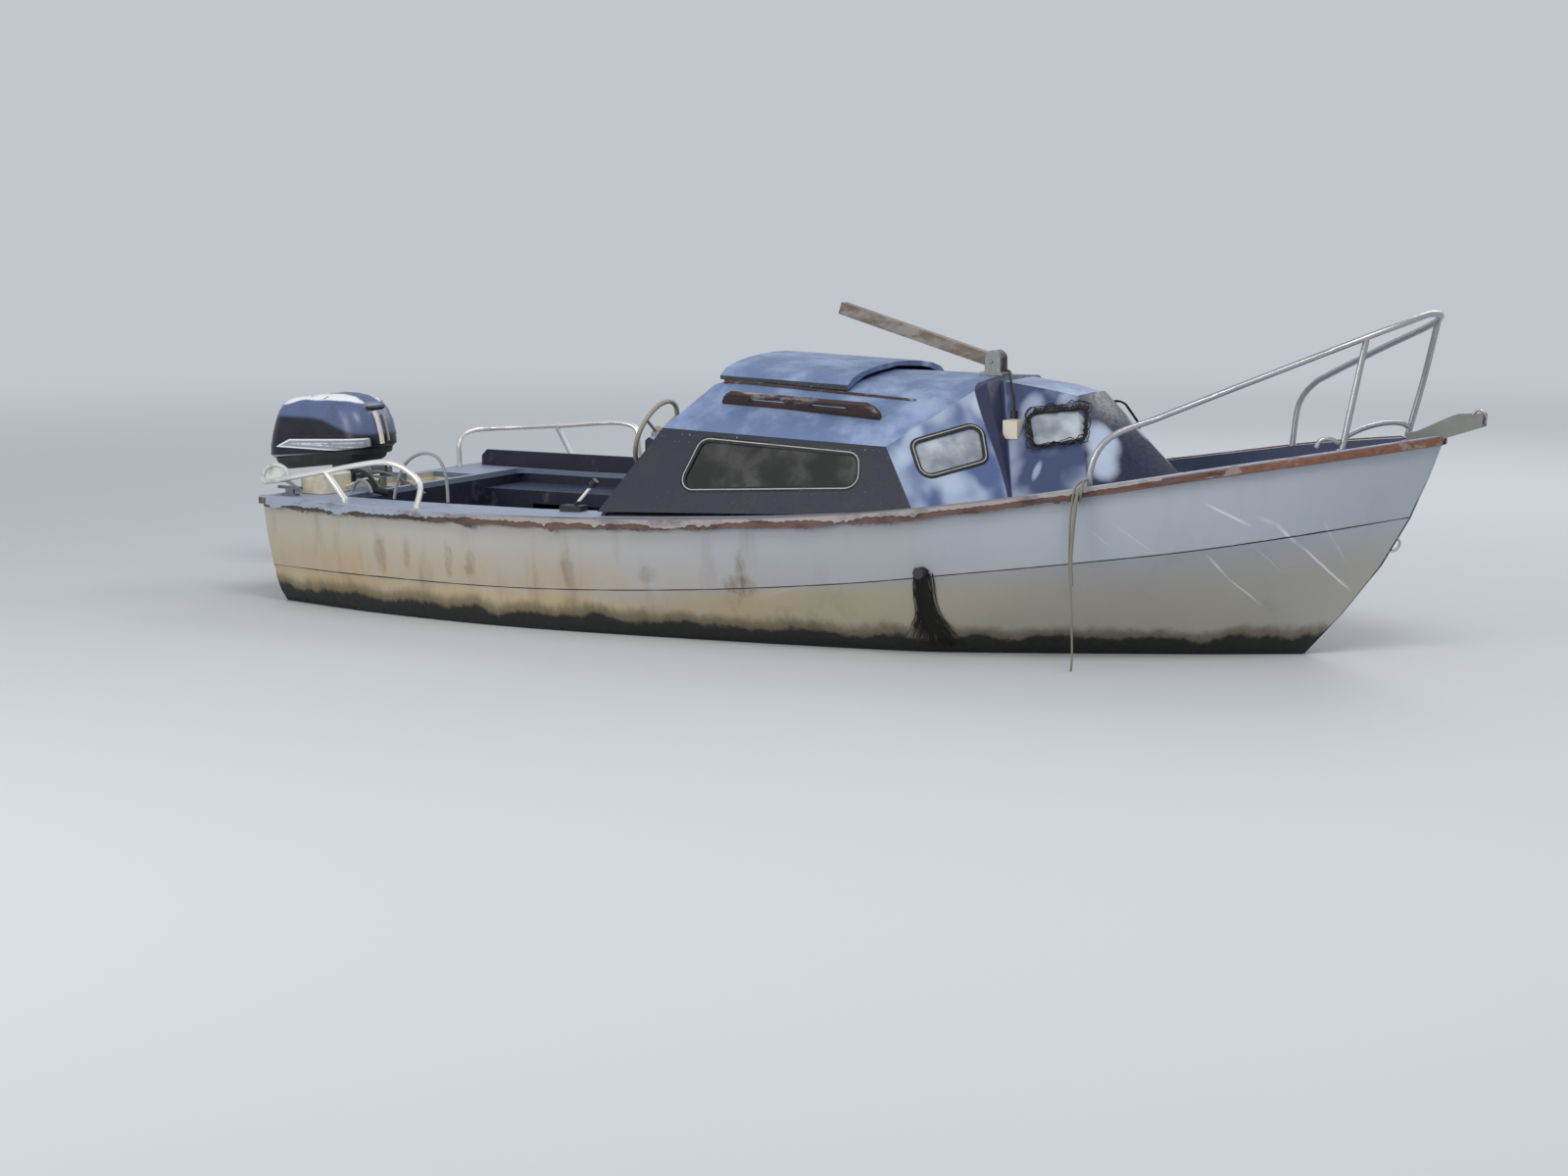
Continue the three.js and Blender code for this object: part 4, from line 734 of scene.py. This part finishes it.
# %% Tube and cord helpers
def tube_mesh(name, path, radius, finish, sides, closed=False):
    """A round tube along a path of points, with its ends closed."""
    curve = bpy.data.curves.new(name, "CURVE")
    curve.dimensions = "3D"
    curve.bevel_depth = radius
    curve.bevel_resolution = max(0, sides // 4 - 1)
    curve.use_fill_caps = True
    spline = curve.splines.new("POLY")
    spline.points.add(len(path) - 1)
    for point, place in zip(spline.points, path):
        point.co = (*place, 1.0)
    spline.use_cyclic_u = closed
    holder = link(bpy.data.objects.new(name, curve))
    bpy.context.view_layer.update()
    mesh = bpy.data.meshes.new_from_object(holder.evaluated_get(bpy.context.evaluated_depsgraph_get()))
    bpy.data.objects.remove(holder)
    bpy.data.curves.remove(curve)
    mesh.name = name
    for polygon in mesh.polygons:
        polygon.use_smooth = True
    mesh.materials.clear()
    mesh.materials.append(finish)
    return link(bpy.data.objects.new(name, mesh))


def declare_cord(piece, route, diameter, far_end, stiffness, lay, exit_place=None):
    """Prints a tube's name and the length of the route that it follows."""
    length = sum((b - a).length for a, b in zip(route, route[1:]))
    print(piece.name, "metres:", round(length, 3))

# %% Line and lead
line_path = smooth_route(LINE_ROUTE, 60)
hanging_line = tube_mesh("hanging_line", line_path, 0.004, pale_rope, 8)
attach(hanging_line, "boat")
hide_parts("hanging_rope")
declare_cord(hanging_line, line_path, 0.008, "bare", "limp", "hanging", LINE_ROUTE[0])

MAST_CABLE_ROUTE = [
    (0.802, -0.04, 1.066), (0.838, -0.078, 1.066), (0.866, -0.138, 1.056), (0.905, -0.2, 1.012),
    (0.94, -0.258, 0.968), (0.946, -0.27, 0.945), (0.946, -0.27, 0.9268),
]
cable_path = smooth_route(MAST_CABLE_ROUTE, 48)
mast_cable = tube_mesh("mast_lead", cable_path, 0.005, black_rubber, 8)
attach(mast_cable, "boat")
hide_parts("mast_cable")
declare_cord(mast_cable, cable_path, 0.01, "object", "medium", "hanging")

# %% [markdown]
# ## Skins over the solids
# Each solid comes as loose flat triangles. A copy of it, with its doubles merged and its low-angle
# edges shaded smooth, stands for it and takes the finish. Narrow bevels catch light along edges.

# %% Skin helper
BODY_OF = {node: body for body, nodes in frame["record"]["behaviour"]["bodies"].items() for node in nodes}


def skin_over(node, finish, smooth, bevel):
    """A smoother copy of a solid, which stands for it and rides on the same body."""
    source = frame["nodes"][node]
    mesh = bpy.data.meshes.new(node + "_skin")
    form = bmesh.new()
    form.from_mesh(source.data)
    bmesh.ops.remove_doubles(form, verts=form.verts, dist=0.00002)
    bmesh.ops.dissolve_limit(form, angle_limit=math.radians(0.6), verts=form.verts, edges=form.edges)
    for face in form.faces:
        face.smooth = True
    for edge in form.edges:
        edge.smooth = len(edge.link_faces) == 2 and edge.calc_face_angle(0.0) < math.radians(smooth)
    form.to_mesh(mesh)
    form.free()
    mesh.materials.append(finish)
    piece = link(bpy.data.objects.new(node + "_skin", mesh))
    if bevel:
        rounding = piece.modifiers.new("rounding", "BEVEL")
        rounding.width = bevel
        rounding.segments = 2
        rounding.limit_method = "ANGLE"
        rounding.angle_limit = math.radians(38.0)
        rounding.use_clamp_overlap = True
    even = piece.modifiers.new("even", "WEIGHTED_NORMAL")
    even.keep_sharp = True
    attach(piece, BODY_OF[node])
    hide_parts(node)
    return piece

# %% Skins
SKINS = [
    # finish, smooth angle, bevel, nodes
    (topsides.material, 40.0, 0.0, "hull"),
    (topsides.material, 30.0, 0.0, "keel_skeg"),
    (deck_paint, 30.0, 0.0, "deck_moulding"),
    (liner_paint, 30.0, 0.0, "cockpit_liner cabin_liner"),
    (liner_paint, 30.0, 0.003, "coaming_port"),
    (cream_plastic, 30.0, 0.0, "motor_well"),
    (cream_plastic, 40.0, 0.004, "fuel_tank"),
    (cabin_paint, 20.0, 0.0, "coachroof"),
    (cabin_paint, 30.0, 0.0, "aft_bulkhead"),
    (cabin_paint, 30.0, 0.002, "companion_door_port companion_door_starboard"),
    (cabin_paint, 32.0, 0.003, "roof_hatch"),
    (cabin_paint, 30.0, 0.004, "helm_console"),
    (dark_pane, 30.0, 0.0, "window_side_port window_side_starboard"),
    (pale_pane, 30.0, 0.0, "window_quarter_port window_quarter_starboard"),
    (pale_pane, 30.0, 0.0, "window_trunk_port window_trunk_starboard"),
    (rail_wood, 30.0, 0.001, "hatch_runner_port hatch_runner_starboard"),
    (rail_wood, 30.0, 0.003, "grab_rail_port grab_rail_starboard transom_pad"),
    (mast_wood, 30.0, 0.004, "mast_stub"),
    (rub_strip, 60.0, 0.0, "rub_rail_port rub_rail_starboard"),
    (plate_steel, 30.0, 0.001, "tabernacle"),
    (rail_steel, 60.0, 0.0, "pulpit towing_eye"),
    (bright_steel, 60.0, 0.0, "stern_rail_port stern_rail_starboard"),
    (roller_metal, 30.0, 0.001, "bow_roller"),
    (motor_alloy, 30.0, 0.003, "bow_cleat quarter_cleat_port quarter_cleat_starboard"),
    (motor_alloy, 32.0, 0.001, "motor_clamp"),
    (motor_alloy, 40.0, 0.002, "motor_swivel"),
    (motor_alloy, 40.0, 0.0, "motor_leg"),
    (cowl_paint, 60.0, 0.0, "motor_cowl"),
    (black_plastic, 40.0, 0.0, "motor_pan skin_fitting"),
    (propeller_alloy, 40.0, 0.0, "propeller"),
    (light_beige, 60.0, 0.0, "steering_wheel"),
    (lever_plastic, 40.0, 0.001, "shift_lever"),
    (socket_plastic, 30.0, 0.004, "deck_socket"),
]
skins = [skin_over(node, finish, smooth, bevel)
         for finish, smooth, bevel, nodes in SKINS for node in nodes.split()]
print("skins:", len(skins))

# %% [markdown]
# ## Window gaskets
# Each pane sits in a black rubber profile with a thin light bead pressed into it. The profile is a
# small section carried round the pane's outline: offsets outward in the pane's plane, and heights
# above it. The corners are the panes' own, given on the port side and mirrored.

# %% Windows
WINDOWS = [
    # name, corner radius, corners
    ("side", 0.048,
     ((-0.263, 0.85, 0.604), (0.537, 0.826, 0.65), (0.508, 0.767, 0.775), (-0.199, 0.757, 0.802))),
    ("quarter", 0.04,
     ((0.772, 0.736, 0.692), (0.928, 0.496, 0.746), (0.858, 0.403, 0.882), (0.689, 0.669, 0.819))),
    ("trunk", 0.03,
     ((1.066, 0.356, 0.795), (1.26, 0.301, 0.826), (1.221, 0.191, 0.943), (0.999, 0.25, 0.912))),
]
TRUNK_SHARE = 0.55
GASKET = [(-0.009, -0.001), (-0.009, 0.002), (0.0, 0.0045), (0.01, 0.004), (0.015, 0.0015),
          (0.015, -0.001)]
BEAD = [(0.001, 0.003), (0.001, 0.0062), (0.0048, 0.0062), (0.0048, 0.003)]

# %% Outline and section helpers
def solid_mesh(name, places, faces, finish):
    """A closed mesh from places and faces, its faces turned outward, riding the boat."""
    mesh = bpy.data.meshes.new(name)
    form = bmesh.new()
    verts = [form.verts.new(place) for place in places]
    for face in faces:
        form.faces.new([verts[i] for i in face])
    bmesh.ops.recalc_face_normals(form, faces=form.faces)
    for face in form.faces:
        face.smooth = True
    for edge in form.edges:
        edge.smooth = len(edge.link_faces) == 2 and edge.calc_face_angle(0.0) < math.radians(50.0)
    form.to_mesh(mesh)
    form.free()
    mesh.materials.append(finish)
    piece = link(bpy.data.objects.new(name, mesh))
    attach(piece, "boat")
    return piece


def pane_outline(corners, radius, side, count=96):
    """Evenly spaced points round a pane, their outward directions, and the pane's own direction."""
    places = [Vector((x, y * side, z)) for x, y, z in corners]
    normal = (places[1] - places[0]).cross(places[3] - places[0]).normalized()
    if normal.y * side < 0.0:
        normal = -normal
    dense = []
    for i, corner in enumerate(places):
        before = (places[i - 1] - corner).normalized()
        after = (places[(i + 1) % len(places)] - corner).normalized()
        half = before.angle(after) / 2.0
        centre = corner + (before + after).normalized() * (radius / math.sin(half))
        first = (corner + before * (radius / math.tan(half)) - centre).normalized()
        last = (corner + after * (radius / math.tan(half)) - centre).normalized()
        for step in range(9):
            outward = first.slerp(last, step / 8.0)
            dense.append((centre + outward * radius, outward))
    dense.append(dense[0])
    lengths = [0.0]
    for (a, _), (b, _) in zip(dense, dense[1:]):
        lengths.append(lengths[-1] + (b - a).length)
    result = []
    span = 0
    for step in range(count):
        target = lengths[-1] * step / count
        while lengths[span + 1] < target:
            span += 1
        share = (target - lengths[span]) / max(lengths[span + 1] - lengths[span], 1e-9)
        (a, out_a), (b, out_b) = dense[span], dense[span + 1]
        result.append((a.lerp(b, share), out_a.lerp(out_b, share).normalized()))
    return result, normal


def ring_mesh(name, outline, normal, section_at, finish):
    """A section carried round an outline; section_at gives it for each step."""
    places = []
    for step, (point, outward) in enumerate(outline):
        section = section_at(step)
        places += [point + outward * aside + normal * height for aside, height in section]
    wide = len(section)
    faces = []
    for step in range(len(outline)):
        following = (step + 1) % len(outline)
        for i in range(wide):
            j = (i + 1) % wide
            faces.append((step * wide + i, step * wide + j, following * wide + j, following * wide + i))
    return solid_mesh(name, places, faces, finish)

# %% Gaskets and beads
SIDES = ((1.0, "port"), (-1.0, "starboard"))
gaskets = 0
for window, radius, corners in WINDOWS:
    for side, side_name in SIDES:
        outline, normal = pane_outline(corners, radius, side)
        share = TRUNK_SHARE if window == "trunk" else 1.0
        gasket = [(aside * share, height * share) for aside, height in GASKET]
        bead = [(aside * share, height * share) for aside, height in BEAD]
        ring_mesh(f"gasket_{window}_{side_name}", outline, normal, lambda step: gasket, black_rubber)
        ring_mesh(f"bead_{window}_{side_name}", outline, normal, lambda step: bead, pale_bead)
        gaskets += 2
print("gaskets and beads:", gaskets)

# %% [markdown]
# The trunk's starboard pane was sealed again with black tape. It is widest and most crumpled along
# the top, where it has come loose, so the outline's outer edge wanders and the surface buckles.

# %% Loose tape
TAPE_STEPS = 160
chance = random.Random(11)
outline, normal = pane_outline(WINDOWS[2][2], WINDOWS[2][1], -1.0, TAPE_STEPS)
wander = [[chance.uniform(-1.0, 1.0) for _ in range(TAPE_STEPS)] for _ in range(4)]


def eased(row, step, reach):
    """A random row smoothed over its neighbours, so that the tape bends instead of flickering."""
    return sum(row[(step + k) % len(row)] for k in range(-reach, reach + 1)) / (2 * reach + 1) * 1.7


def tape_section(step):
    upper = max(0.0, min(1.0, outline[step][1].z * 1.4 - 0.1))
    outer = 0.008 + 0.009 * upper + 0.005 * eased(wander[0], step, 1) + 0.01 * upper * wander[0][step]
    inner = -0.003 - 0.004 * upper + 0.005 * eased(wander[1], step, 2)
    lift = 0.01 + 0.004 * eased(wander[2], step, 1) + 0.006 * upper * eased(wander[3], step, 1)
    middle = (outer + inner) / 2.0
    edge = (outer, 0.003 + lift * 0.3)
    return [(inner, 0.001), (inner, lift * 0.7), (middle, lift), edge, (outer, 0.0005)]


ring_mesh("loose_tape", outline, normal, tape_section, black_rubber)
CREASES = [
    # aside, height, sway
    (-0.004, 0.013, 0.01),
    (0.012, 0.012, 0.014),
    (0.019, 0.009, 0.012),
]
for number, (aside, height, sway) in enumerate(CREASES):
    route = []
    for step, (point, outward) in enumerate(outline):
        upper = max(0.0, outward.z)
        shift = aside + 0.01 * upper * (aside > 0.0) + sway * eased(wander[(number + 1) % 4], step, 2)
        route.append(point + outward * shift + normal * (height + 0.004 * eased(wander[number], step, 1)))
    crease = tube_mesh(f"tape_crease_{number}", route, 0.0022, black_rubber, 6, True)
    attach(crease, "boat")
print("tape: 1 band,", len(CREASES), "creases")

# %% [markdown]
# ## The hull's crease, its torn strip and its weed
# The upper and lower parts of the hull's sides meet along a thin dark line, the painted shadow under
# the upper part's slight overhang. It is a thin tube, so that it keeps its width from every side.

# %% Crease
KNUCKLE = [
    (-2.325, 0.818, 0.165), (-1.705, 0.925, 0.168), (-0.927, 0.96, 0.176), (-0.149, 0.958, 0.222),
    (0.531, 0.92, 0.288), (1.017, 0.855, 0.352), (1.406, 0.755, 0.402), (1.795, 0.59, 0.452),
    (2.135, 0.37, 0.505), (2.475, 0.014, 0.56),
]
for side, side_name in SIDES:
    route = [Vector((p.x, p.y * side, p.z)) for p in smooth_route(KNUCKLE, 120)]
    # A dark tube as painted shadow along the crease.
    crease = tube_mesh(f"hull_crease_{side_name}", route, 0.0032, seam_shadow, 6)
    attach(crease, "boat")

print("hull creases: 2")

# %% [markdown]
# The strip on the rub rail is torn along its lower edge. The solid rail gives its place: a plane cuts
# the rail at each station, and its outermost point there carries the strip. A random row, smoothed
# over its neighbours, makes the tears.

# %% Torn strip
def rail_edge(node, stations):
    """The outermost place of a rail at each station along x."""
    form = bmesh.new()
    form.from_mesh(frame["nodes"][node].data)
    edge = []
    for station in stations:
        best = None
        for link_edge in form.edges:
            a, b = (vert.co for vert in link_edge.verts)
            if (a.x - station) * (b.x - station) > 0.0 or a.x == b.x:
                continue
            place = a.lerp(b, (station - a.x) / (b.x - a.x))
            if best is None or abs(place.y) > abs(best.y) + 1e-5:
                best = place
        if best is not None:
            edge.append(best)
    form.free()
    return edge


STRIP_STEP = 0.012
STRIPS = [
    # name, port's seed, starboard's seed, finish, from x, to x, top, drop, outward
    ("torn_strip", 3, 5, torn_strip, -2.3, 1.75, 0.009, 0.019, 0.0032),
    # The underlay shows below the torn strip: painted shadow aft, brown wood forward.
    ("strip_underlay", 13, 17, brown_edge_and_shadow, -2.31, 1.95, 0.001, 0.03, 0.0012),
]
TEAR = 0.006


def strip_mesh(name, edge, side, seed, finish, top, drop, outward):
    """A thin strip that hangs from the rail's edge, torn below."""
    chance = random.Random(seed)
    rough = [chance.uniform(-1.0, 1.0) for _ in edge]
    lean = -0.35 * top
    places = []
    for step, place in enumerate(edge):
        hang = drop + TEAR * eased(rough, step, 3) + TEAR * 0.5 * rough[step]
        if finish is torn_strip:
            # Beside the cockpit it hangs lower than further forward
            hang -= 0.012 * max(0.0, min(1.0, (place.x + 1.7) / 0.4))
        if eased(rough, step, 5) > 0.4:
            hang += 1.8 * TEAR
        hang *= 1.0 - 0.6 * max(0.0, step / len(edge) - 0.78) / 0.22
        flare = TEAR * 0.6 * max(0.0, eased(rough, step, 4))
        places += [
            (place.x, place.y + side * (lean + outward - 0.002), place.z + top),
            (place.x, place.y + side * (lean + outward), place.z + top - 0.001),
            (place.x, place.y + side * (outward + flare), place.z - hang),
            (place.x, place.y + side * (outward + flare - 0.002), place.z - hang),
        ]
    faces = [(0, 1, 2, 3), tuple(len(places) - 4 + k for k in range(4))]
    for step in range(len(edge) - 1):
        for i in range(4):
            j = (i + 1) % 4
            faces.append((step * 4 + i, step * 4 + j, step * 4 + 4 + j, step * 4 + 4 + i))
    return solid_mesh(name, places, faces, finish)


for name, port_seed, starboard_seed, finish, x_from, x_to, *shape in STRIPS:
    stations = [x_from + STRIP_STEP * k for k in range(int((x_to - x_from) / STRIP_STEP) + 1)]
    for (side, side_name), seed in zip(SIDES, (port_seed, starboard_seed)):
        edge = rail_edge("rub_rail_" + side_name, stations)
        strip_mesh(f"{name}_{side_name}", edge, side, seed, finish, *shape)
print("strips on each rail:", len(STRIPS))

# %% [markdown]
# Weed hangs from the outlet down to the water, as thin strands against the hull's side. Rays from
# abeam find that side.

# %% Weed
def tree_of(node):
    """A solid's faces, ready for ray casts."""
    form = bmesh.new()
    form.from_mesh(frame["nodes"][node].data)
    tree = BVHTree.FromBMesh(form)
    form.free()
    return tree


HULL_TREE = tree_of("hull")


def hull_side(x, z):
    """The hull's outer face at a place on the starboard side, seen from abeam."""
    return HULL_TREE.ray_cast(Vector((x, -3.0, z)), Vector((0.0, 1.0, 0.0)))[0].y


OUTLET_X = 0.848
OUTLET_Z = 0.366
WEED_STRANDS = 170
WEED_STEPS = 9
chance = random.Random(29)
places = []
faces = []
for strand in range(WEED_STRANDS):
    x = OUTLET_X + chance.gauss(0.0, 0.012)
    z = OUTLET_Z - abs(chance.gauss(0.0, 0.03))
    foot = chance.uniform(0.02, 0.12)
    drift = chance.uniform(-0.11, 0.05)
    thick = chance.uniform(0.0018, 0.0038)
    first = len(places)
    for step in range(WEED_STEPS):
        share = step / (WEED_STEPS - 1)
        at_z = z + (foot - z) * share
        at_x = x - 0.014 * math.sin(share * 3.1) + drift * share ** 3
        at_x += 0.004 * math.sin(share * 9.0 + strand)
        at_y = hull_side(at_x, max(at_z, 0.01)) - 0.003 - 0.006 * chance.random()
        size = thick * (1.0 - 0.6 * share)
        places += [(at_x - size, at_y, at_z), (at_x + size, at_y, at_z), (at_x, at_y - size * 1.6, at_z)]
    for step in range(WEED_STEPS - 1):
        for i in range(3):
            j = (i + 1) % 3
            a = first + step * 3
            faces.append((a + i, a + j, a + 3 + j, a + 3 + i))
    faces += [(first, first + 1, first + 2), tuple(first + (WEED_STEPS - 1) * 3 + k for k in range(3))]
solid_mesh("weed", places, faces, weed_green)
print("weed strands:", WEED_STRANDS)

# %% [markdown]
# ## Small things at the stern, the wheel and the bow
# Hoses, cables and lashings lie where they were left. Each is a tube along a few places, and a
# table gives its body, thickness and finish. What lies against the cowl or a door gets its places
# from rays onto that solid, so that nothing floats in front of it.

# %% Places on the cowl and the doors
COWL_TREE = tree_of("motor_cowl")
DOOR_TREES = {leaf: tree_of("companion_door_" + leaf) for leaf in ("port", "starboard")}
HANDLE = [(0.76, 0.0), (0.765, 0.018), (0.815, 0.018), (0.82, 0.0)]


def cowl_face(y, z, proud):
    """A place on the cowl's front face, standing proud of it by a little."""
    place = COWL_TREE.ray_cast(Vector((-1.5, y, z)), Vector((-1.0, 0.0, 0.0)))[0]
    return (place.x + proud, y, z)


def door_face(leaf, y, z, proud):
    """A place on a door's after face."""
    place = DOOR_TREES[leaf].ray_cast(Vector((-2.0, y, z)), Vector((1.0, 0.0, 0.0)))[0]
    return (place.x - proud, y, z)


def ring(centre, half_wide, half_high, count=16):
    """Places round an upright oval that faces abeam."""
    turns = [k * 2.0 * math.pi / count for k in range(count)]
    x, y, z = centre
    return [(x + half_wide * math.cos(turn), y, z + half_high * math.sin(turn)) for turn in turns]

# %% Tubes
TUBES = [
    # name, body, radius, finish, closed, places
    ("fuel_hose", "motor", 0.012, hose_pale, False,
     [cowl_face(-0.035, z, 0.006) for z in (0.775, 0.74, 0.7, 0.66, 0.63)]),
    ("fuel_hose_thin", "motor", 0.007, light_beige, False,
     [cowl_face(0.02, z, 0.004) for z in (0.76, 0.72, 0.68, 0.64)]),
    ("latch_grip", "motor", 0.01, black_plastic, False,
     [cowl_face(y, 0.792, 0.008) for y in (-0.07, -0.035, 0.01, 0.05)]),
    ("control_cable", "boat", 0.007, lead_grey, False, [
        (-1.73, -0.745, 0.478), (-1.705, -0.75, 0.56), (-1.66, -0.756, 0.632),
        (-1.6, -0.76, 0.672), (-1.539, -0.76, 0.682), (-1.489, -0.76, 0.665),
        (-1.455, -0.76, 0.612), (-1.443, -0.76, 0.54), (-1.441, -0.76, 0.48)]),
    ("door_handle_port", "door_port", 0.005, bright_steel, False,
     [door_face("port", 0.05, z, proud) for z, proud in HANDLE]),
    ("door_handle_starboard", "door_starboard", 0.005, bright_steel, False,
     [door_face("starboard", -0.05, z, proud) for z, proud in HANDLE]),
    ("door_hasp", "door_port", 0.006, plate_steel, False,
     [door_face("port", y, 0.7, 0.004) for y in (0.012, 0.03, 0.06)]),
    ("cable_bundle", "boat", 0.016, black_rubber, False, [
        (-2.3, -0.3, 0.515), (-2.18, -0.36, 0.52), (-2.06, -0.46, 0.5),
        (-1.96, -0.56, 0.486), (-1.84, -0.62, 0.484)]),
    ("cable_loop", "boat", 0.009, black_rubber, False, [
        (-2.2, -0.4, 0.5), (-2.15, -0.46, 0.548), (-2.06, -0.52, 0.556),
        (-1.98, -0.56, 0.53), (-1.93, -0.58, 0.488)]),
    ("cable_short", "boat", 0.008, lead_grey, False, [
        (-2.06, -0.6, 0.48), (-2.04, -0.605, 0.512), (-2.0, -0.612, 0.532),
        (-1.96, -0.618, 0.512), (-1.94, -0.62, 0.48)]),
    ("corner_loop", "boat", 0.01, fender_white, False, [
        (-2.23, -0.85, 0.546), (-2.3, -0.852, 0.533), (-2.35, -0.845, 0.532),
        (-2.364, -0.83, 0.56), (-2.345, -0.815, 0.592), (-2.3, -0.805, 0.6),
        (-2.262, -0.8, 0.58), (-2.25, -0.8, 0.552)]),
    ("base_bar", "boat", 0.01, rail_steel, False, [
        (2.3, -0.275, 0.88), (2.335, -0.18, 0.905), (2.372, 0.0, 0.915),
        (2.4, 0.12, 0.905), (2.404, 0.18, 0.89)]),
    ("foot_bracket", "boat", 0.009, rail_steel, False, [
        (2.29, -0.32, 0.862), (2.262, -0.345, 0.878), (2.235, -0.365, 0.872),
        (2.222, -0.378, 0.846)]),
    ("bow_shackle", "boat", 0.006, rail_steel, True, ring((2.722, 0.03, 0.945), 0.026, 0.03)),
    ("lashing_long", "boat", 0.004, pale_rope, False, [
        (-2.3, -0.42, 0.5), (-2.18, -0.4, 0.53), (-2.065, -0.38, 0.545),
        (-1.93, -0.36, 0.5), (-1.855, -0.34, 0.455)]),
    ("lashing_short", "boat", 0.006, cream_plastic, False, [
        (-2.13, -0.55, 0.492), (-2.08, -0.54, 0.512), (-2.03, -0.52, 0.53),
        (-1.99, -0.5, 0.522)]),
    ("line_turns", "boat", 0.0065, pale_rope, True, [
        (1.47, -0.8, 0.722), (1.478, -0.828, 0.716), (1.476, -0.846, 0.69),
        (1.47, -0.842, 0.655), (1.462, -0.812, 0.69)]),
    ("line_tail", "boat", 0.0065, pale_rope, False, [
        (1.468, -0.838, 0.7), (1.462, -0.853, 0.665), (1.456, -0.852, 0.61),
        (1.448, -0.849, 0.54), (1.44, -0.847, 0.43), (1.443, -0.845, 0.33)]),
]
FREE_CORDS = {
    # name: far end, stiffness, lay
    "control_cable": ("object", "stiff", "loose"),
    "cable_bundle": ("object", "medium", "loose"),
    "cable_loop": ("object", "medium", "loose"),
    "cable_short": ("object", "medium", "loose"),
    "lashing_short": ("bare", "limp", "loose"),
    "lashing_long": ("bare", "limp", "loose"),
    "line_tail": ("bare", "limp", "hanging"),
}
for name, body, radius, finish, closed, places in TUBES:
    path_points = [Vector(p) for p in places] if closed else smooth_route(places, 24)
    piece = tube_mesh(name, path_points, radius, finish, 8, closed)
    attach(piece, body)
    if name in FREE_CORDS:
        declare_cord(piece, path_points, radius * 2.0, *FREE_CORDS[name])

print("tubes:", len(TUBES))

# %% [markdown]
# At the stern's corner a pale loop stands up. A thin web closes it, a fan from its middle with a
# front and a back.

# %% Web
WEB = [(-2.262, -0.842, 0.548), (-2.34, -0.842, 0.54), (-2.352, -0.826, 0.56),
       (-2.338, -0.812, 0.584), (-2.3, -0.806, 0.592), (-2.268, -0.806, 0.576)]
loop = [Vector(place) for place in WEB]
middle = sum(loop, Vector()) / len(loop)
inward = Vector((0.0, 0.002, 0.001))
places = [middle - inward, middle + inward]
places += [place - inward for place in loop] + [place + inward for place in loop]
faces = []
for i in range(len(loop)):
    near = (2 + i, 2 + (i + 1) % len(loop))
    far = (near[0] + len(loop), near[1] + len(loop))
    faces += [(0, *near), (1, far[1], far[0]), (near[0], far[0], far[1], near[1])]
solid_mesh("corner_web", places, faces, fender_white)
print("web corners:", len(WEB))
